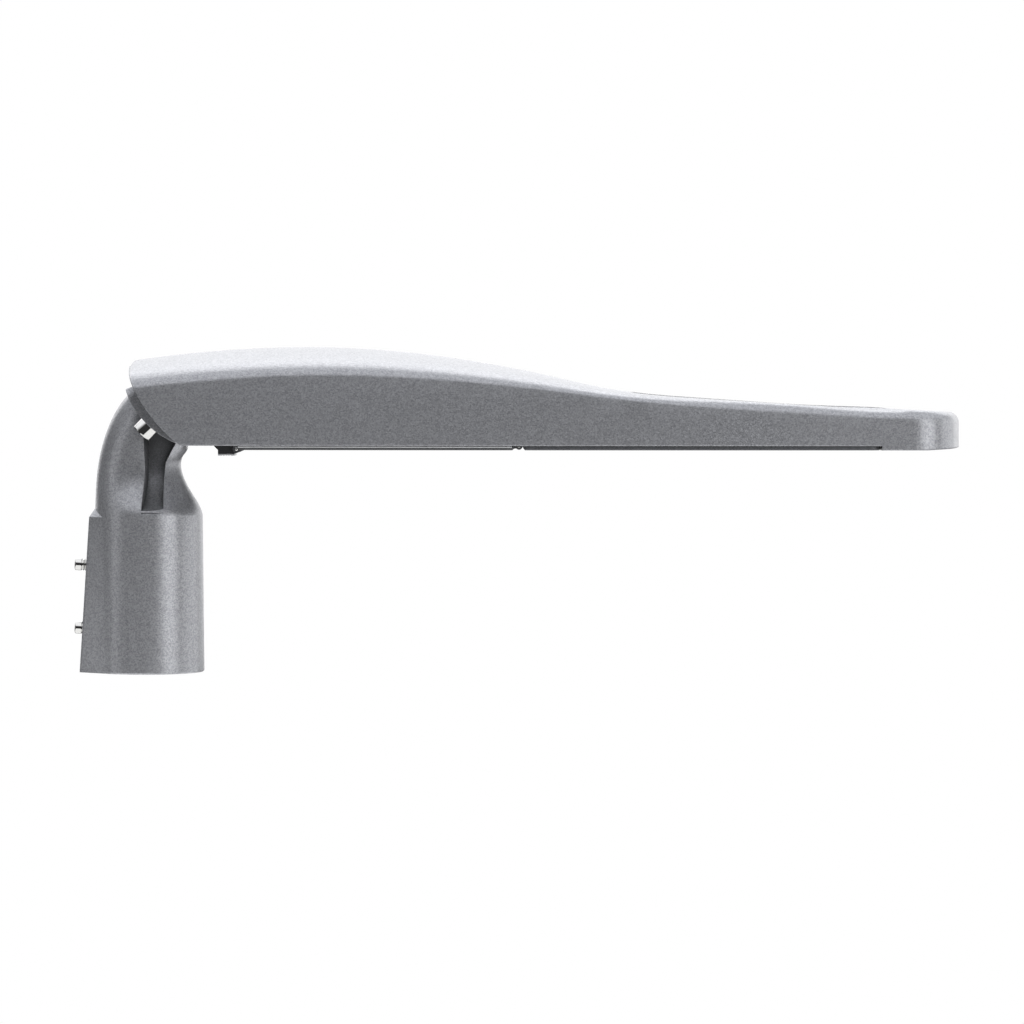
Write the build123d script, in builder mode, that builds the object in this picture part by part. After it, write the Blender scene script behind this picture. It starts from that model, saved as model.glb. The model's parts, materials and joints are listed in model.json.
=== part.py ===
from build123d import *
import math
import os

# LED street light on a pole-top adapter, in millimetres.
# Origin: centre of the pole socket's mouth. +Z goes up the pole, +X runs along the head to its nose.

# Pole socket
pole_bore_radius = 31.0
socket_outer_radius = 42.5
socket_top_radius = 41.3
socket_height = 120.0
socket_wall = 4.5
bore_depth = 106.0
front_rib_angle = 60.0
front_rib_span = 46.0
rear_rib_span = 44.0
mouth_chamfer = 1.0

# Screw pad on the back of the socket
pad_half_width = 13.0
pad_bottom_x = -52.4
pad_top_x = -45.3
pad_top_z = 119.0
pad_slope_height = 117.0
pad_edge_fillet = 3.5
# Flanks of the pad: (angle where the flank meets the socket, depth of its foot below the socket's surface)
pad_flank_bottom = (121.5, 0.45)
pad_flank_top = (128.0, 0.4)
# Where the pad runs out into the neck: (z, face x, half width, flank angle, foot depth)
pad_run_out = (127.0, -39.8, 8.0, 130.0, 1.8)

# Clamp screws, M10 with a hexagon socket
clamp_screw_radius = 4.9
clamp_screw_length = 25.5
clamp_screw_heights = {"upper": 82.2, "lower": 33.6}
clamp_tip_gap = 0.4
clamp_screw_clearance = 0.06
clamp_screw_chamfer = 1.0
clamp_hex_radius = 2.9
clamp_hex_depth = 5.0

# Tilt joint: the saddle plate and the head's seat share this axis
tilt_x = 50.0
tilt_z = 238.5
seat_radius = 59.5
seat_gap = 0.3
saddle_thickness = 7.7
saddle_start_angle = 198.5
saddle_end_angle = 252.5
saddle_half_width = 56.0
saddle_side_gap = 1.0
saddle_corner_radius = 9.0
tilt_up = 15.0
tilt_down = 5.0

# Tilt bolts, M10 cap screws through curved slots in the saddle
bolt_angle = 226.5
bolt_y = 45.0
bolt_radius = 5.0
bolt_head_radius = 8.0
bolt_head_height = 10.0
bolt_head_chamfer = 0.8
bolt_hex_radius = 4.6
bolt_hex_depth = 5.5
bolt_shank_length = 23.0
bolt_slot_clearance = 0.5
bolt_hole_clearance = 0.05
bolt_tip_gap = 1.0
bolt_boss_radius = 10.5
bolt_boss_depth = 12.0
washer_radius = 9.0
washer_thickness = 1.8
washer_hole_clearance = 0.3
washer_recess_depth = 3.1
washer_recess_clearance = 0.4

# Neck between socket and saddle: (centre x, centre z, half length, half width, lean in degrees)
neck_collar = (-1.2, 127.0, 40.1, 39.6, 0.0)
neck_taper = (-4.1, 138.0, 36.8, 34.5, 1.0)
neck_waist = (-6.5, 150.0, 33.5, 31.0, 3.0)
neck_shoulder = (-4.4, 172.0, 30.7, 32.0, 16.0)
neck_root_half_length = 28.0
neck_root_half_width = 35.0
neck_root_corner = 20.0
neck_root_shift = 0.5
neck_root_depth = 1.3
neck_saddle_lap = 5.7

# Pockets in the neck's sides, between its rear wall and its front wall
pocket_outline = [(-4.0, 121.5), (-4.0, 205.0), (31.0, 205.0), (28.0, 181.0), (24.8, 172.5), (18.3, 159.5),
                  (17.0, 148.0), (15.0, 121.5)]
pocket_draft = 10.0
pocket_mouth_y = 46.0
pocket_floor_y = 17.0
pocket_floor_start_z = 160.0
pocket_floor_end = (44.0, 123.0)

# Cable way through the neck
cable_way_half_width = 13.0
cable_way_half_length = 14.5
cable_way_lap = 4.0
cable_window_half_width = 14.0
cable_window_margin = 0.8

# Cable grommet in the head's seat
grommet_hole_radius = 9.0
grommet_clearance = 0.05
grommet_flange_radius = 12.5
grommet_flange_thickness = 3.0
grommet_bore_radius = 5.0
grommet_recess = 0.6

# Head: outer form
rear_half_width = 104.0
front_half_width = 128.0
rear_x = -15.0
parallel_x = 480.0
nose_x = 620.0
nose_corner_radius = 32.0
nose_bow = 19.0
nose_top_radius = 8.2
nose_top_slope = 0.047
rim_z = 175.0
lip_z = 171.8
lip_start_x = 552.0
lip_rise = 1.8
lip_rise_length = 34.0
rear_arc_centre = (102.0, 269.0)
rear_arc_radius = 117.6
# Stations along the head: (x, shoulder height, top height, width of the rounded shoulder, crown rise)
head_stations = [
    (-30.0, 214.5, 235.6, 46.0, 4.6),
    (45.0, 221.8, 245.7, 50.0, 5.2),
    (120.0, 226.3, 249.2, 52.0, 5.0),
    (195.0, 225.2, 245.6, 50.0, 4.4),
    (270.0, 219.6, 235.0, 42.0, 3.4),
    (310.0, 215.2, 226.8, 34.0, 2.5),
    (345.0, 211.0, 218.9, 24.0, 1.7),
    (385.0, 206.6, 213.2, 15.0, 1.2),
    (430.0, 202.6, 209.8, 10.5, 0.9),
    (500.0, 198.0, 205.1, 8.5, 0.5),
    (575.0, 194.0, 201.5, 7.5, 0.0),
]
curve_handle = 0.55

# Gear compartment
wall = 4.5
seat_wall = 6.5
compartment_front_x = 272.0
compartment_floor_z = 180.0
door_opening_rear_x = 84.0
door_opening_inset = 13.5
door_opening_corner = 12.0

# Door gasket in a groove of the rim
gasket_offset = 3.4
gasket_width = 3.6
gasket_depth = 3.2
gasket_side_clearance = 0.1
gasket_proud = 0.1

# Gear door
door_rear_x = 73.5
door_front_x = 280.0
door_side_inset = 1.5
door_top_gap = 0.3
door_plate = 2.9
door_edge_chamfer = 1.5
door_rear_corner = 12.0
door_front_corner = 4.0
door_wall_height = 5.0
door_wall_thickness = 2.4
door_wall_gap = 1.8
door_rib_height = 4.0
door_rib_thickness = 2.0
door_rib_count = 4
door_rib_pitch = 46.0
door_rib_end_gap = 10.0

# Door hinge
hinge_x = 283.5
hinge_z = 174.5
hinge_y = 96.0
hinge_pin_radius = 1.5
hinge_pin_clearance = 0.06
knuckle_radius = 2.6
knuckle_length = 9.0
lug_length = 5.0
lug_gap = 0.3
hinge_pocket_clearance = 0.5

# Latch on the door's rear edge
latch_pin_x = 68.2
latch_pin_z = 171.2
latch_pin_radius = 1.5
latch_pin_clearance = 0.06
latch_eye_radius = 3.0
latch_half_width = 15.0
latch_tip_x = 50.5
latch_heel_x = 53.8
latch_top_gap = 1.4
latch_bottom_z = 167.4
latch_plate_thickness = 1.5
latch_side_gap = 0.4
latch_ear_thickness = 4.0
latch_nose_x = 58.0
latch_nose_radius = 1.9
latch_nose_height = 3.0
latch_nose_half_width = 9.0
strike_length = 12.0
strike_half_width = 17.0
strike_corner = 2.0
strike_thickness = 1.2
strike_edge_clearance = 0.2
strike_clearance = 0.8
strike_screw_y = 13.4
strike_screw_radius = 1.4
strike_screw_length = 4.0
strike_screw_head_radius = 2.4
strike_screw_head_height = 0.8

# Optical window, its glass and the frame that holds it
window_start_x = 296.0
window_end_x = 541.5
window_inset = 18.0
window_corner = 12.0
deck_z = 188.0
glass_thickness = 4.0
glass_overlap = 6.0
glass_gasket_thickness = 1.0
glass_edge_clearance = 0.5
glass_seat_z = 179.0
frame_start_x = 287.0
frame_end_x = 551.0
frame_inset = 0.8
frame_corner = 5.0
frame_front_corner = 8.0
frame_overlap = 5.0
frame_edge_chamfer = 0.8
frame_screw_radius = 1.9
frame_screw_head_radius = 3.6
frame_screw_head_height = 1.6
frame_screw_length = 9.0
frame_screw_inset = 6.2
frame_screw_clearance = 0.1

# LED modules
module_count = 3
module_pitch = 78.0
module_first_x = 340.0
module_length = 196.0
module_width = 70.0
led_rows = 2
leds_per_row = 6
led_pitch_x = 33.0
led_pitch_y = 31.0
board_thickness = 1.6
led_size = 5.0
led_height = 0.8
led_top_gap = 0.3
lens_plate_thickness = 2.0
lens_plate_margin = 2.0
lens_plate_corner = 4.0
lens_rim_width = 2.0
lens_length = 24.0
lens_width = 14.0
lens_corner = 4.5
lens_height = 4.4
module_screw_x = 29.5
module_screw_y = 92.0
module_screw_depth = 2.6
module_screw_radius = 1.5
module_screw_head_radius = 2.8
module_screw_head_height = 1.8
lens_plate_length = 192.0

# Cooling channels above the modules
channel_count = 11
channel_pitch = 15.0
channel_width = 8.6
channel_start_x = 356.0
channel_end_x = 560.0
channel_run_out = 36.0
deck_thickness = 4.0

# Gear tray and what it carries
tray_z = 219.0
tray_thickness = 1.5
tray_rear_x = 92.0
tray_front_x = 262.0
tray_half_width = 88.0
tray_corner = 6.0
tray_lip_height = 8.0
post_radius = 5.0
post_rear_x = 102.0
post_front_x = 252.0
post_y = 78.0
small_screw_radius = 2.0
small_screw_head_radius = 3.6
small_screw_head_height = 2.2
small_screw_length = 9.0
small_screw_clearance = 0.1
screw_sides = 8

driver_start_x = 110.0
driver_length = 138.0
driver_y = -38.0
driver_width = 62.0
driver_height = 34.0
driver_foot = 8.0
driver_foot_thickness = 3.0
driver_corner = 3.0
case_edge_chamfer = 1.5

surge_start_x = 196.0
surge_length = 46.0
surge_y = 42.0
surge_width = 36.0
surge_height = 27.0

terminal_start_x = 108.0
terminal_length = 24.0
terminal_y = 42.0
terminal_width = 52.0
terminal_height = 20.0
terminal_ways = 4

isolator_start_x = 146.0
isolator_length = 36.0
isolator_y = 46.0
isolator_width = 44.0
isolator_height = 34.0
isolator_ways = 3
isolator_pitch = 12.0
blade_width = 14.0
blade_thickness = 1.2
blade_reach = 9.0
blade_slot_clearance = 2.2
blade_side_clearance = 0.7
blade_base_height = 6.0
blade_base_margin = 5.0

# Leads inside the head
lead_radius = 2.2
lead_gland_radius = 4.0
lead_gland_clearance = 0.05
lead_gland_flange_radius = 5.0
lead_gland_flange_thickness = 1.8
lead_z = 185.6
lead_y = -20.0
gear_lead_radius = 1.5
gear_lead_drop = 12.0

# Cable clamp, earth screw and breather
cable_clamp_x = 62.0
cable_clamp_y = 17.0
cable_clamp_length = 12.0
cable_clamp_half_width = 24.0
cable_clamp_thickness = 5.0
cable_clamp_post_height = 7.0
cable_clamp_groove_radius = 5.0
earth_screw_place = (62.0, -62.0)
earth_boss_height = 6.0
earth_head_radius = 4.5
vent_y = 64.0
vent_z = 186.6
vent_cap_radius = 6.0
vent_cap_thickness = 1.8
vent_stem_radius = 3.0
vent_stem_clearance = 0.05

# Worked out from the sizes above
saddle_inner_radius = seat_radius + seat_gap
saddle_outer_radius = saddle_inner_radius + saddle_thickness
saddle_middle_angle = (saddle_start_angle + saddle_end_angle) / 2
slot_middle_angle = bolt_angle + (tilt_up - tilt_down) / 2
slot_half_sweep = (tilt_up + tilt_down) / 2
washer_seat_radius = saddle_outer_radius - washer_recess_depth + seat_gap
bolt_seat_radius = washer_seat_radius + washer_thickness
seat_half_width = saddle_half_width + saddle_side_gap
door_top_z = rim_z - door_top_gap
door_bottom_z = door_top_z - door_plate
board_bottom_z = deck_z - board_thickness
lens_plate_top_z = board_bottom_z - led_height - led_top_gap
tray_bottom_z = tray_z - tray_thickness
pad_slope = (pad_top_x - pad_bottom_x) / pad_slope_height
far = 200.0


def half_width(x):
    """Half the head's width at x: a parabola that levels off at parallel_x."""
    share = max(parallel_x - x, 0) / (parallel_x - rear_x)
    return front_half_width - (front_half_width - rear_half_width) * share**2


def tilt_point(angle, radius):
    """Point (x, z) at an angle and radius from the tilt axis."""
    turn = math.radians(angle)
    return tilt_x + radius * math.cos(turn), tilt_z + radius * math.sin(turn)


def radial_plane(angle, radius, y=0.0):
    """Plane that faces away from the tilt axis; its own y direction runs round the axis."""
    turn = math.radians(angle)
    x, z = tilt_point(angle, radius)
    return Plane(origin=(x, y, z), x_dir=(0, 1, 0), z_dir=(math.cos(turn), 0, math.sin(turn)))


def tilt_sector(inner, outer, start, end, y_middle, half_span):
    """Solid ring sector round the tilt axis."""
    middle = (start + end) / 2
    with BuildPart() as sector:
        with BuildSketch(Plane.XZ.offset(-y_middle)):
            with BuildLine():
                Line(tilt_point(start, inner), tilt_point(start, outer))
                ThreePointArc(tilt_point(start, outer), tilt_point(middle, outer), tilt_point(end, outer))
                Line(tilt_point(end, outer), tilt_point(end, inner))
                ThreePointArc(tilt_point(end, inner), tilt_point(middle, inner), tilt_point(start, inner))
            make_face()
        extrude(amount=half_span, both=True)
    return sector.part


def head_section(station, inset, bottom):
    """Cross-section of the head: upright sides, rounded shoulders and a low crown."""
    x, shoulder, top, corner, rise = station
    half = half_width(x) - inset
    crown_half = half_width(x) - corner
    crown_z = top - rise - inset
    slope = 2 * rise / crown_half
    reach = crown_half * 2 / 3
    lift = curve_handle * (crown_z - shoulder)
    run = (1 - curve_handle) * (half - crown_half)
    with BuildSketch(Plane(origin=(x, 0, 0), x_dir=(0, 1, 0), z_dir=(1, 0, 0))) as section:
        with BuildLine():
            Line((-half, bottom), (half, bottom))
            Line((half, bottom), (half, shoulder))
            Bezier(
                (half, shoulder),
                (half, shoulder + lift),
                (crown_half + run, crown_z - slope * run),
                (crown_half, crown_z),
            )
            Bezier(
                (crown_half, crown_z),
                (crown_half - reach, crown_z + slope * reach),
                (reach - crown_half, crown_z + slope * reach),
                (-crown_half, crown_z),
            )
            Bezier(
                (-crown_half, crown_z),
                (-crown_half - run, crown_z - slope * run),
                (-half, shoulder + lift),
                (-half, shoulder),
            )
            Line((-half, shoulder), (-half, bottom))
        make_face()
    return section.sketch


def plan_outline(height, start_x, end_x, inset, rear_corner, front_corner):
    """Face at a height between two stations, whose long sides follow the head's sides."""
    middle_x = (start_x + end_x) / 2
    rear = half_width(start_x) - inset
    front = half_width(end_x) - inset
    bulge = 2 * (half_width(middle_x) - inset) - (rear + front) / 2
    with BuildSketch(Plane.XY.offset(height)) as plan:
        with BuildLine():
            Bezier((start_x, -rear), (middle_x, -bulge), (end_x, -front))
            Line((end_x, -front), (end_x, front))
            Bezier((end_x, front), (middle_x, bulge), (start_x, rear))
            Line((start_x, rear), (start_x, -rear))
        make_face()
        fillet(plan.vertices().group_by(Axis.X)[0], rear_corner)
        fillet(plan.vertices().group_by(Axis.X)[-1], front_corner)
    return plan.sketch


def rear_cut(side_inset, seat_inset):
    """Everything behind the head: an arc across the sides, the tilt seat across the middle."""
    cx, cz = rear_arc_centre
    radius = rear_arc_radius - side_inset
    points = []
    for angle in (186.0, 212.0, 240.0):
        turn = math.radians(angle)
        points.append((cx + radius * math.cos(turn), cz + radius * math.sin(turn)))
    seat = seat_radius - seat_inset
    seat_end = saddle_end_angle + tilt_down + saddle_side_gap
    seat_points = [tilt_point(angle, seat) for angle in (180.0, 215.0, seat_end)]
    foot_x = seat_points[2][0] + 1.5
    side_start = seat_half_width - side_inset
    with BuildPart() as cut:
        with BuildSketch(Plane.XZ.offset(side_start)):
            with BuildLine():
                ThreePointArc(*points)
                Polyline(points[2], (points[2][0], -far), (-far, -far), (-far, 2 * far),
                         (points[0][0], 2 * far), points[0])
            make_face()
        extrude(amount=far)
        mirror(about=Plane.XZ)
        with BuildSketch(Plane.XZ):
            with BuildLine():
                ThreePointArc(*seat_points)
                Polyline(seat_points[2], (foot_x, rim_z), (foot_x, -far), (-far, -far), (-far, 2 * far),
                         (seat_points[0][0], 2 * far), seat_points[0])
            make_face()
        extrude(amount=seat_half_width + side_inset, both=True)
    return cut.part


def cap_screw(plane, shank, length, head, height, hex_radius, hex_depth, chamfer_size):
    """Cap screw: head on the plane, shank below it, hexagon socket in the head."""
    with BuildPart() as screw:
        with BuildSketch(plane):
            Circle(head)
        extrude(amount=height)
        chamfer(screw.faces().sort_by(Axis(plane.origin, plane.z_dir))[-1].edges(), chamfer_size)
        with BuildSketch(plane):
            Circle(shank)
        extrude(amount=-length)
        with BuildSketch(plane.offset(height)):
            RegularPolygon(hex_radius, 6)
        extrude(amount=-hex_depth, mode=Mode.SUBTRACT)
    return screw.part


def pan_screws(places, down, shank, length, head, height):
    """Group of small eight-sided screws: heads on the plane z at each (x, y, z), pointing up or down."""
    with BuildPart() as screws:
        for x, y, z in places:
            plane = Plane(origin=(x, y, z), z_dir=(0, 0, -1 if down else 1))
            with BuildSketch(plane):
                RegularPolygon(head, screw_sides)
            extrude(amount=height)
            with BuildSketch(plane):
                RegularPolygon(shank, screw_sides)
            extrude(amount=-length)
    return screws.part


# Outer form of the head: loft to the nose, then a nose block with rounded top edges
nose_start_x, _, nose_top_z, _, _ = head_stations[-1]
side_end_x = nose_x - nose_bow
nose_end_z = nose_top_z - nose_top_slope * (nose_x - nose_start_x)
with BuildPart() as nose_form:
    with BuildSketch(Plane.XY.offset(lip_z)) as nose_plan:
        with BuildLine():
            Line((nose_start_x, -front_half_width), (side_end_x, -front_half_width))
            ThreePointArc((side_end_x, -front_half_width), (nose_x, 0), (side_end_x, front_half_width))
            Line((side_end_x, front_half_width), (nose_start_x, front_half_width))
            Line((nose_start_x, front_half_width), (nose_start_x, -front_half_width))
        make_face()
        fillet(nose_plan.vertices().group_by(Axis.X)[-1], nose_corner_radius)
    extrude(amount=nose_top_z - lip_z)
    with BuildSketch(Plane.XZ):
        with BuildLine():
            Polyline((nose_start_x, nose_top_z), (nose_x, nose_end_z), (nose_x + far, nose_end_z),
                     (nose_x + far, nose_top_z + far), (nose_start_x, nose_top_z + far), close=True)
        make_face()
    extrude(amount=far, both=True, mode=Mode.SUBTRACT)
    top_edges = nose_form.faces().sort_by(Axis.Z)[-1].edges().sort_by(Axis.X)[1:]
    fillet(top_edges, nose_top_radius)

with BuildPart() as head_form:
    loft([head_section(station, 0, lip_z) for station in head_stations])
    add(nose_form.part)
    with BuildSketch(Plane.XZ):
        with BuildLine():
            Polyline((-far, lip_z - far), (-far, rim_z), (lip_start_x, rim_z), (lip_start_x, lip_z),
                     (nose_x - lip_rise_length, lip_z), (nose_x, lip_z + lip_rise), (nose_x + far, lip_z + far),
                     (nose_x + far, lip_z - far), close=True)
        make_face()
    extrude(amount=far, both=True, mode=Mode.SUBTRACT)
    add(rear_cut(0, 0), mode=Mode.SUBTRACT)

# Hollow of the gear compartment
with BuildPart() as compartment:
    loft([head_section(station, wall, compartment_floor_z) for station in head_stations[:6]])
    split(bisect_by=Plane.YZ.offset(compartment_front_x), keep=Keep.BOTTOM)
    add(rear_cut(wall, seat_wall), mode=Mode.SUBTRACT)

# Posts and bosses that rise into the head's roof
post_places = [(x, y) for x in (post_rear_x, post_front_x) for y in (-post_y, post_y)]
with BuildPart() as roof_posts:
    with BuildSketch(Plane.XY.offset(tray_z)):
        with Locations(*post_places):
            Circle(post_radius)
    extrude(amount=far)
    add(head_form.part, mode=Mode.INTERSECT)

with BuildPart() as seat_bosses:
    for side in (-1, 1):
        with BuildSketch(radial_plane(bolt_angle, seat_radius - seat_wall - bolt_boss_depth, side * bolt_y)):
            Circle(bolt_boss_radius)
        extrude(amount=bolt_boss_depth + seat_wall)
    add(head_form.part, mode=Mode.INTERSECT)

window_screw_places = []
screw_columns = 5
screw_inset = frame_start_x + frame_screw_inset
screw_span = frame_end_x - frame_screw_inset - screw_inset
for column in range(screw_columns):
    screw_x = screw_inset + screw_span * column / (screw_columns - 1)
    for side in (-1, 1):
        window_screw_places.append((screw_x, side * (half_width(screw_x) - frame_inset - frame_screw_inset)))

module_corners = [(x, y) for x in (-module_screw_x, module_screw_x) for y in (-module_screw_y, module_screw_y)]
module_places = [module_first_x + module_pitch * index for index in range(module_count)]
module_screw_places = [(place + x, y) for place in module_places for x, y in module_corners]
strike_screw_places = [(latch_nose_x, side * strike_screw_y) for side in (-1, 1)]
clamp_places = [(cable_clamp_x, side * cable_clamp_y) for side in (-1, 1)]

with BuildPart() as upper_housing:
    add(head_form.part)
    add(compartment.part, mode=Mode.SUBTRACT)
    add(roof_posts.part)
    add(seat_bosses.part)
    # Door opening
    extrude(plan_outline(rim_z, door_opening_rear_x, compartment_front_x, door_opening_inset,
                         door_opening_corner, door_opening_corner),
            amount=compartment_floor_z - rim_z, mode=Mode.SUBTRACT)
    # Groove for the door gasket
    groove_inner = gasket_offset
    groove_outer = gasket_offset + gasket_width
    with BuildSketch(Plane.XY.offset(rim_z)):
        add(plan_outline(rim_z, door_opening_rear_x - groove_outer, compartment_front_x + groove_outer,
                         door_opening_inset - groove_outer, door_opening_corner + groove_outer,
                         door_opening_corner + groove_outer))
        add(plan_outline(rim_z, door_opening_rear_x - groove_inner, compartment_front_x + groove_inner,
                         door_opening_inset - groove_inner, door_opening_corner + groove_inner,
                         door_opening_corner + groove_inner), mode=Mode.SUBTRACT)
    extrude(amount=gasket_depth, mode=Mode.SUBTRACT)
    # Optical recess and the ledge that seats the glass
    extrude(plan_outline(rim_z, window_start_x, window_end_x, window_inset, window_corner, window_corner),
            amount=deck_z - rim_z, mode=Mode.SUBTRACT)
    ledge = glass_overlap + glass_edge_clearance
    extrude(plan_outline(rim_z, window_start_x - ledge, window_end_x + ledge, window_inset - ledge,
                         window_corner, window_corner),
            amount=glass_seat_z - rim_z, mode=Mode.SUBTRACT)
    # Cooling channels with a sloped rear end
    channel_floor_z = deck_z + deck_thickness
    for channel in range(channel_count):
        channel_y = (channel - (channel_count - 1) / 2) * channel_pitch
        with BuildSketch(Plane.XZ.offset(-channel_y)):
            with BuildLine():
                Polyline((channel_start_x, channel_floor_z + channel_run_out),
                         (channel_start_x + channel_run_out, channel_floor_z),
                         (channel_end_x, channel_floor_z), (channel_end_x, channel_floor_z + channel_run_out),
                         close=True)
            make_face()
        extrude(amount=channel_width / 2, both=True, mode=Mode.SUBTRACT)
    # Holes for the tilt bolts, the grommet, the tray screws and the frame screws
    for side in (-1, 1):
        with BuildSketch(radial_plane(bolt_angle, bolt_seat_radius, side * bolt_y)):
            Circle(bolt_radius + bolt_hole_clearance)
        extrude(amount=-bolt_shank_length - bolt_tip_gap, mode=Mode.SUBTRACT)
    with BuildSketch(radial_plane(bolt_angle, seat_radius + 1.0)):
        Circle(grommet_hole_radius)
    extrude(amount=-seat_wall - 2.0, mode=Mode.SUBTRACT)
    with BuildSketch(Plane.XY.offset(tray_z)):
        with Locations(*post_places):
            Circle(small_screw_radius + small_screw_clearance)
    extrude(amount=small_screw_length, mode=Mode.SUBTRACT)
    with BuildSketch(Plane.XY.offset(rim_z)):
        with Locations(*window_screw_places):
            Circle(frame_screw_radius + frame_screw_clearance)
    extrude(amount=frame_screw_length, mode=Mode.SUBTRACT)
    # Cable clamp posts on the floor and their holes
    with BuildSketch(Plane.XY.offset(compartment_floor_z)):
        with Locations(*clamp_places):
            Circle(post_radius)
    extrude(amount=cable_clamp_post_height)
    with BuildSketch(Plane.XY.offset(compartment_floor_z + cable_clamp_post_height)):
        with Locations(*clamp_places):
            Circle(small_screw_radius + small_screw_clearance)
    extrude(amount=-small_screw_length, mode=Mode.SUBTRACT)
    # Way for the lead and the breather through the wall in front of the compartment
    with BuildSketch(Plane.YZ.offset(compartment_front_x)):
        with Locations((lead_y, lead_z)):
            Circle(lead_gland_radius)
        with Locations((vent_y, vent_z)):
            Circle(vent_stem_radius + vent_stem_clearance)
    extrude(amount=window_start_x - compartment_front_x, mode=Mode.SUBTRACT)
    # Pockets for the door hinge, with the lugs left standing
    pocket_radius = knuckle_radius + hinge_pocket_clearance
    for side in (-1, 1):
        with BuildSketch(Plane.XZ.offset(-side * hinge_y)):
            with Locations((hinge_x, hinge_z)):
                Rectangle(2 * pocket_radius, 2 * pocket_radius)
        extrude(amount=knuckle_length / 2 + lug_gap + lug_length, both=True, mode=Mode.SUBTRACT)
        for lug in (-1, 1):
            lug_y = side * hinge_y + lug * (knuckle_length / 2 + lug_gap + lug_length / 2)
            with BuildSketch(Plane.XZ.offset(-lug_y)):
                with Locations((hinge_x, hinge_z)):
                    Circle(knuckle_radius)
                with Locations((hinge_x, hinge_z + pocket_radius / 2)):
                    Rectangle(2 * knuckle_radius, pocket_radius)
            extrude(amount=lug_length / 2, both=True)
            with BuildSketch(Plane.XZ.offset(-lug_y)):
                with Locations((hinge_x, hinge_z)):
                    Circle(hinge_pin_radius + hinge_pin_clearance)
            extrude(amount=lug_length / 2, both=True, mode=Mode.SUBTRACT)
    # Seat of the latch's strike, and the pocket above it
    with BuildSketch(Plane.XY.offset(rim_z)):
        with Locations((latch_nose_x, 0)):
            RectangleRounded(strike_length + 2 * strike_edge_clearance,
                             2 * (strike_half_width + strike_edge_clearance), strike_corner)
    extrude(amount=strike_thickness, mode=Mode.SUBTRACT)
    with BuildSketch(Plane.XY.offset(rim_z)):
        with Locations((latch_nose_x, 0)):
            Rectangle(2 * (latch_nose_radius + strike_clearance), 2 * (latch_nose_half_width + strike_clearance))
    extrude(amount=latch_nose_height, mode=Mode.SUBTRACT)
    with BuildSketch(Plane.XY.offset(rim_z)):
        with Locations(*strike_screw_places):
            Circle(strike_screw_radius + small_screw_clearance)
    extrude(amount=strike_screw_length, mode=Mode.SUBTRACT)
    # Earth boss
    with BuildSketch(Plane.XY.offset(compartment_floor_z)):
        with Locations(earth_screw_place):
            Circle(post_radius)
    extrude(amount=earth_boss_height)
    with BuildSketch(Plane.XY.offset(compartment_floor_z + earth_boss_height)):
        with Locations(earth_screw_place):
            Circle(small_screw_radius + small_screw_clearance)
    extrude(amount=-small_screw_length, mode=Mode.SUBTRACT)
    # Tapped holes for the LED modules
    with BuildSketch(Plane.XY.offset(deck_z)):
        with Locations(*module_screw_places):
            Circle(module_screw_radius + small_screw_clearance)
    extrude(amount=module_screw_depth, mode=Mode.SUBTRACT)

# Pole adapter: socket, screw pad, neck and saddle plate
def neck_section(x, z, half_length, half_width_y, lean):
    """Ellipse across the neck, leaning forward by an angle."""
    turn = math.radians(lean)
    plane = Plane(origin=(x, 0, z), x_dir=(math.cos(turn), 0, -math.sin(turn)),
                  z_dir=(math.sin(turn), 0, math.cos(turn)))
    with BuildSketch(plane) as section:
        Ellipse(half_length, half_width_y)
    return section.sketch


def pad_section(height, face_x, face_half, flank_angle, foot_depth):
    """Section of the screw pad: flat face, rounded edges and flanks that run out on the socket."""
    socket_radius = socket_outer_radius - (socket_outer_radius - socket_top_radius) * height / socket_height
    turn = math.radians(flank_angle)
    foot_x = (socket_radius - foot_depth) * math.cos(turn)
    foot_y = (socket_radius - foot_depth) * math.sin(turn)
    with BuildSketch(Plane.XY.offset(height)) as section:
        with BuildLine():
            Polyline((face_x, -face_half), (face_x, face_half), (foot_x, foot_y), (foot_x, -foot_y), close=True)
        make_face()
        fillet(section.vertices().group_by(Axis.X)[0], pad_edge_fillet)
    return section.sketch


def clamp_axis_plane(height):
    """Plane on the screw pad's face at a height, facing out along the clamp screw."""
    return Plane(origin=(pad_bottom_x + pad_slope * height, 0, height), x_dir=(0, 1, 0), z_dir=(-1, 0, pad_slope))


with BuildPart() as saddle_plate:
    add(tilt_sector(saddle_inner_radius, saddle_outer_radius, saddle_start_angle, saddle_end_angle,
                    0, saddle_half_width))
    saddle_chord = 2 * saddle_outer_radius * math.sin(math.radians(saddle_end_angle - saddle_start_angle) / 2)
    with BuildSketch(radial_plane(saddle_middle_angle, 0)):
        RectangleRounded(2 * saddle_half_width, saddle_chord, saddle_corner_radius)
    extrude(amount=far, mode=Mode.INTERSECT)

# Straight cable way from the bore's end to the cable window
way_end_x, way_end_z = tilt_point(slot_middle_angle, saddle_outer_radius)
way_start_z = bore_depth - cable_way_lap
way_plane = Plane(origin=(0, 0, way_start_z), x_dir=(0, 1, 0), z_dir=(way_end_x, 0, way_end_z - way_start_z))
way_length = math.hypot(way_end_x, way_end_z - way_start_z) + cable_way_half_length
with BuildPart() as cable_way:
    with BuildSketch(way_plane):
        SlotOverall(2 * cable_way_half_length, 2 * cable_way_half_width, rotation=90)
    extrude(amount=way_length)

with BuildSketch(Plane.XY.offset(socket_height)) as neck_foot:
    Circle(socket_top_radius)
with BuildSketch(radial_plane(saddle_middle_angle, saddle_inner_radius - neck_root_depth)) as neck_head:
    with Locations((0, neck_root_shift)):
        RectangleRounded(2 * neck_root_half_width, 2 * neck_root_half_length, neck_root_corner)
neck_rings = [neck_section(*ring) for ring in (neck_collar, neck_taper, neck_waist, neck_shoulder)]

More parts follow.
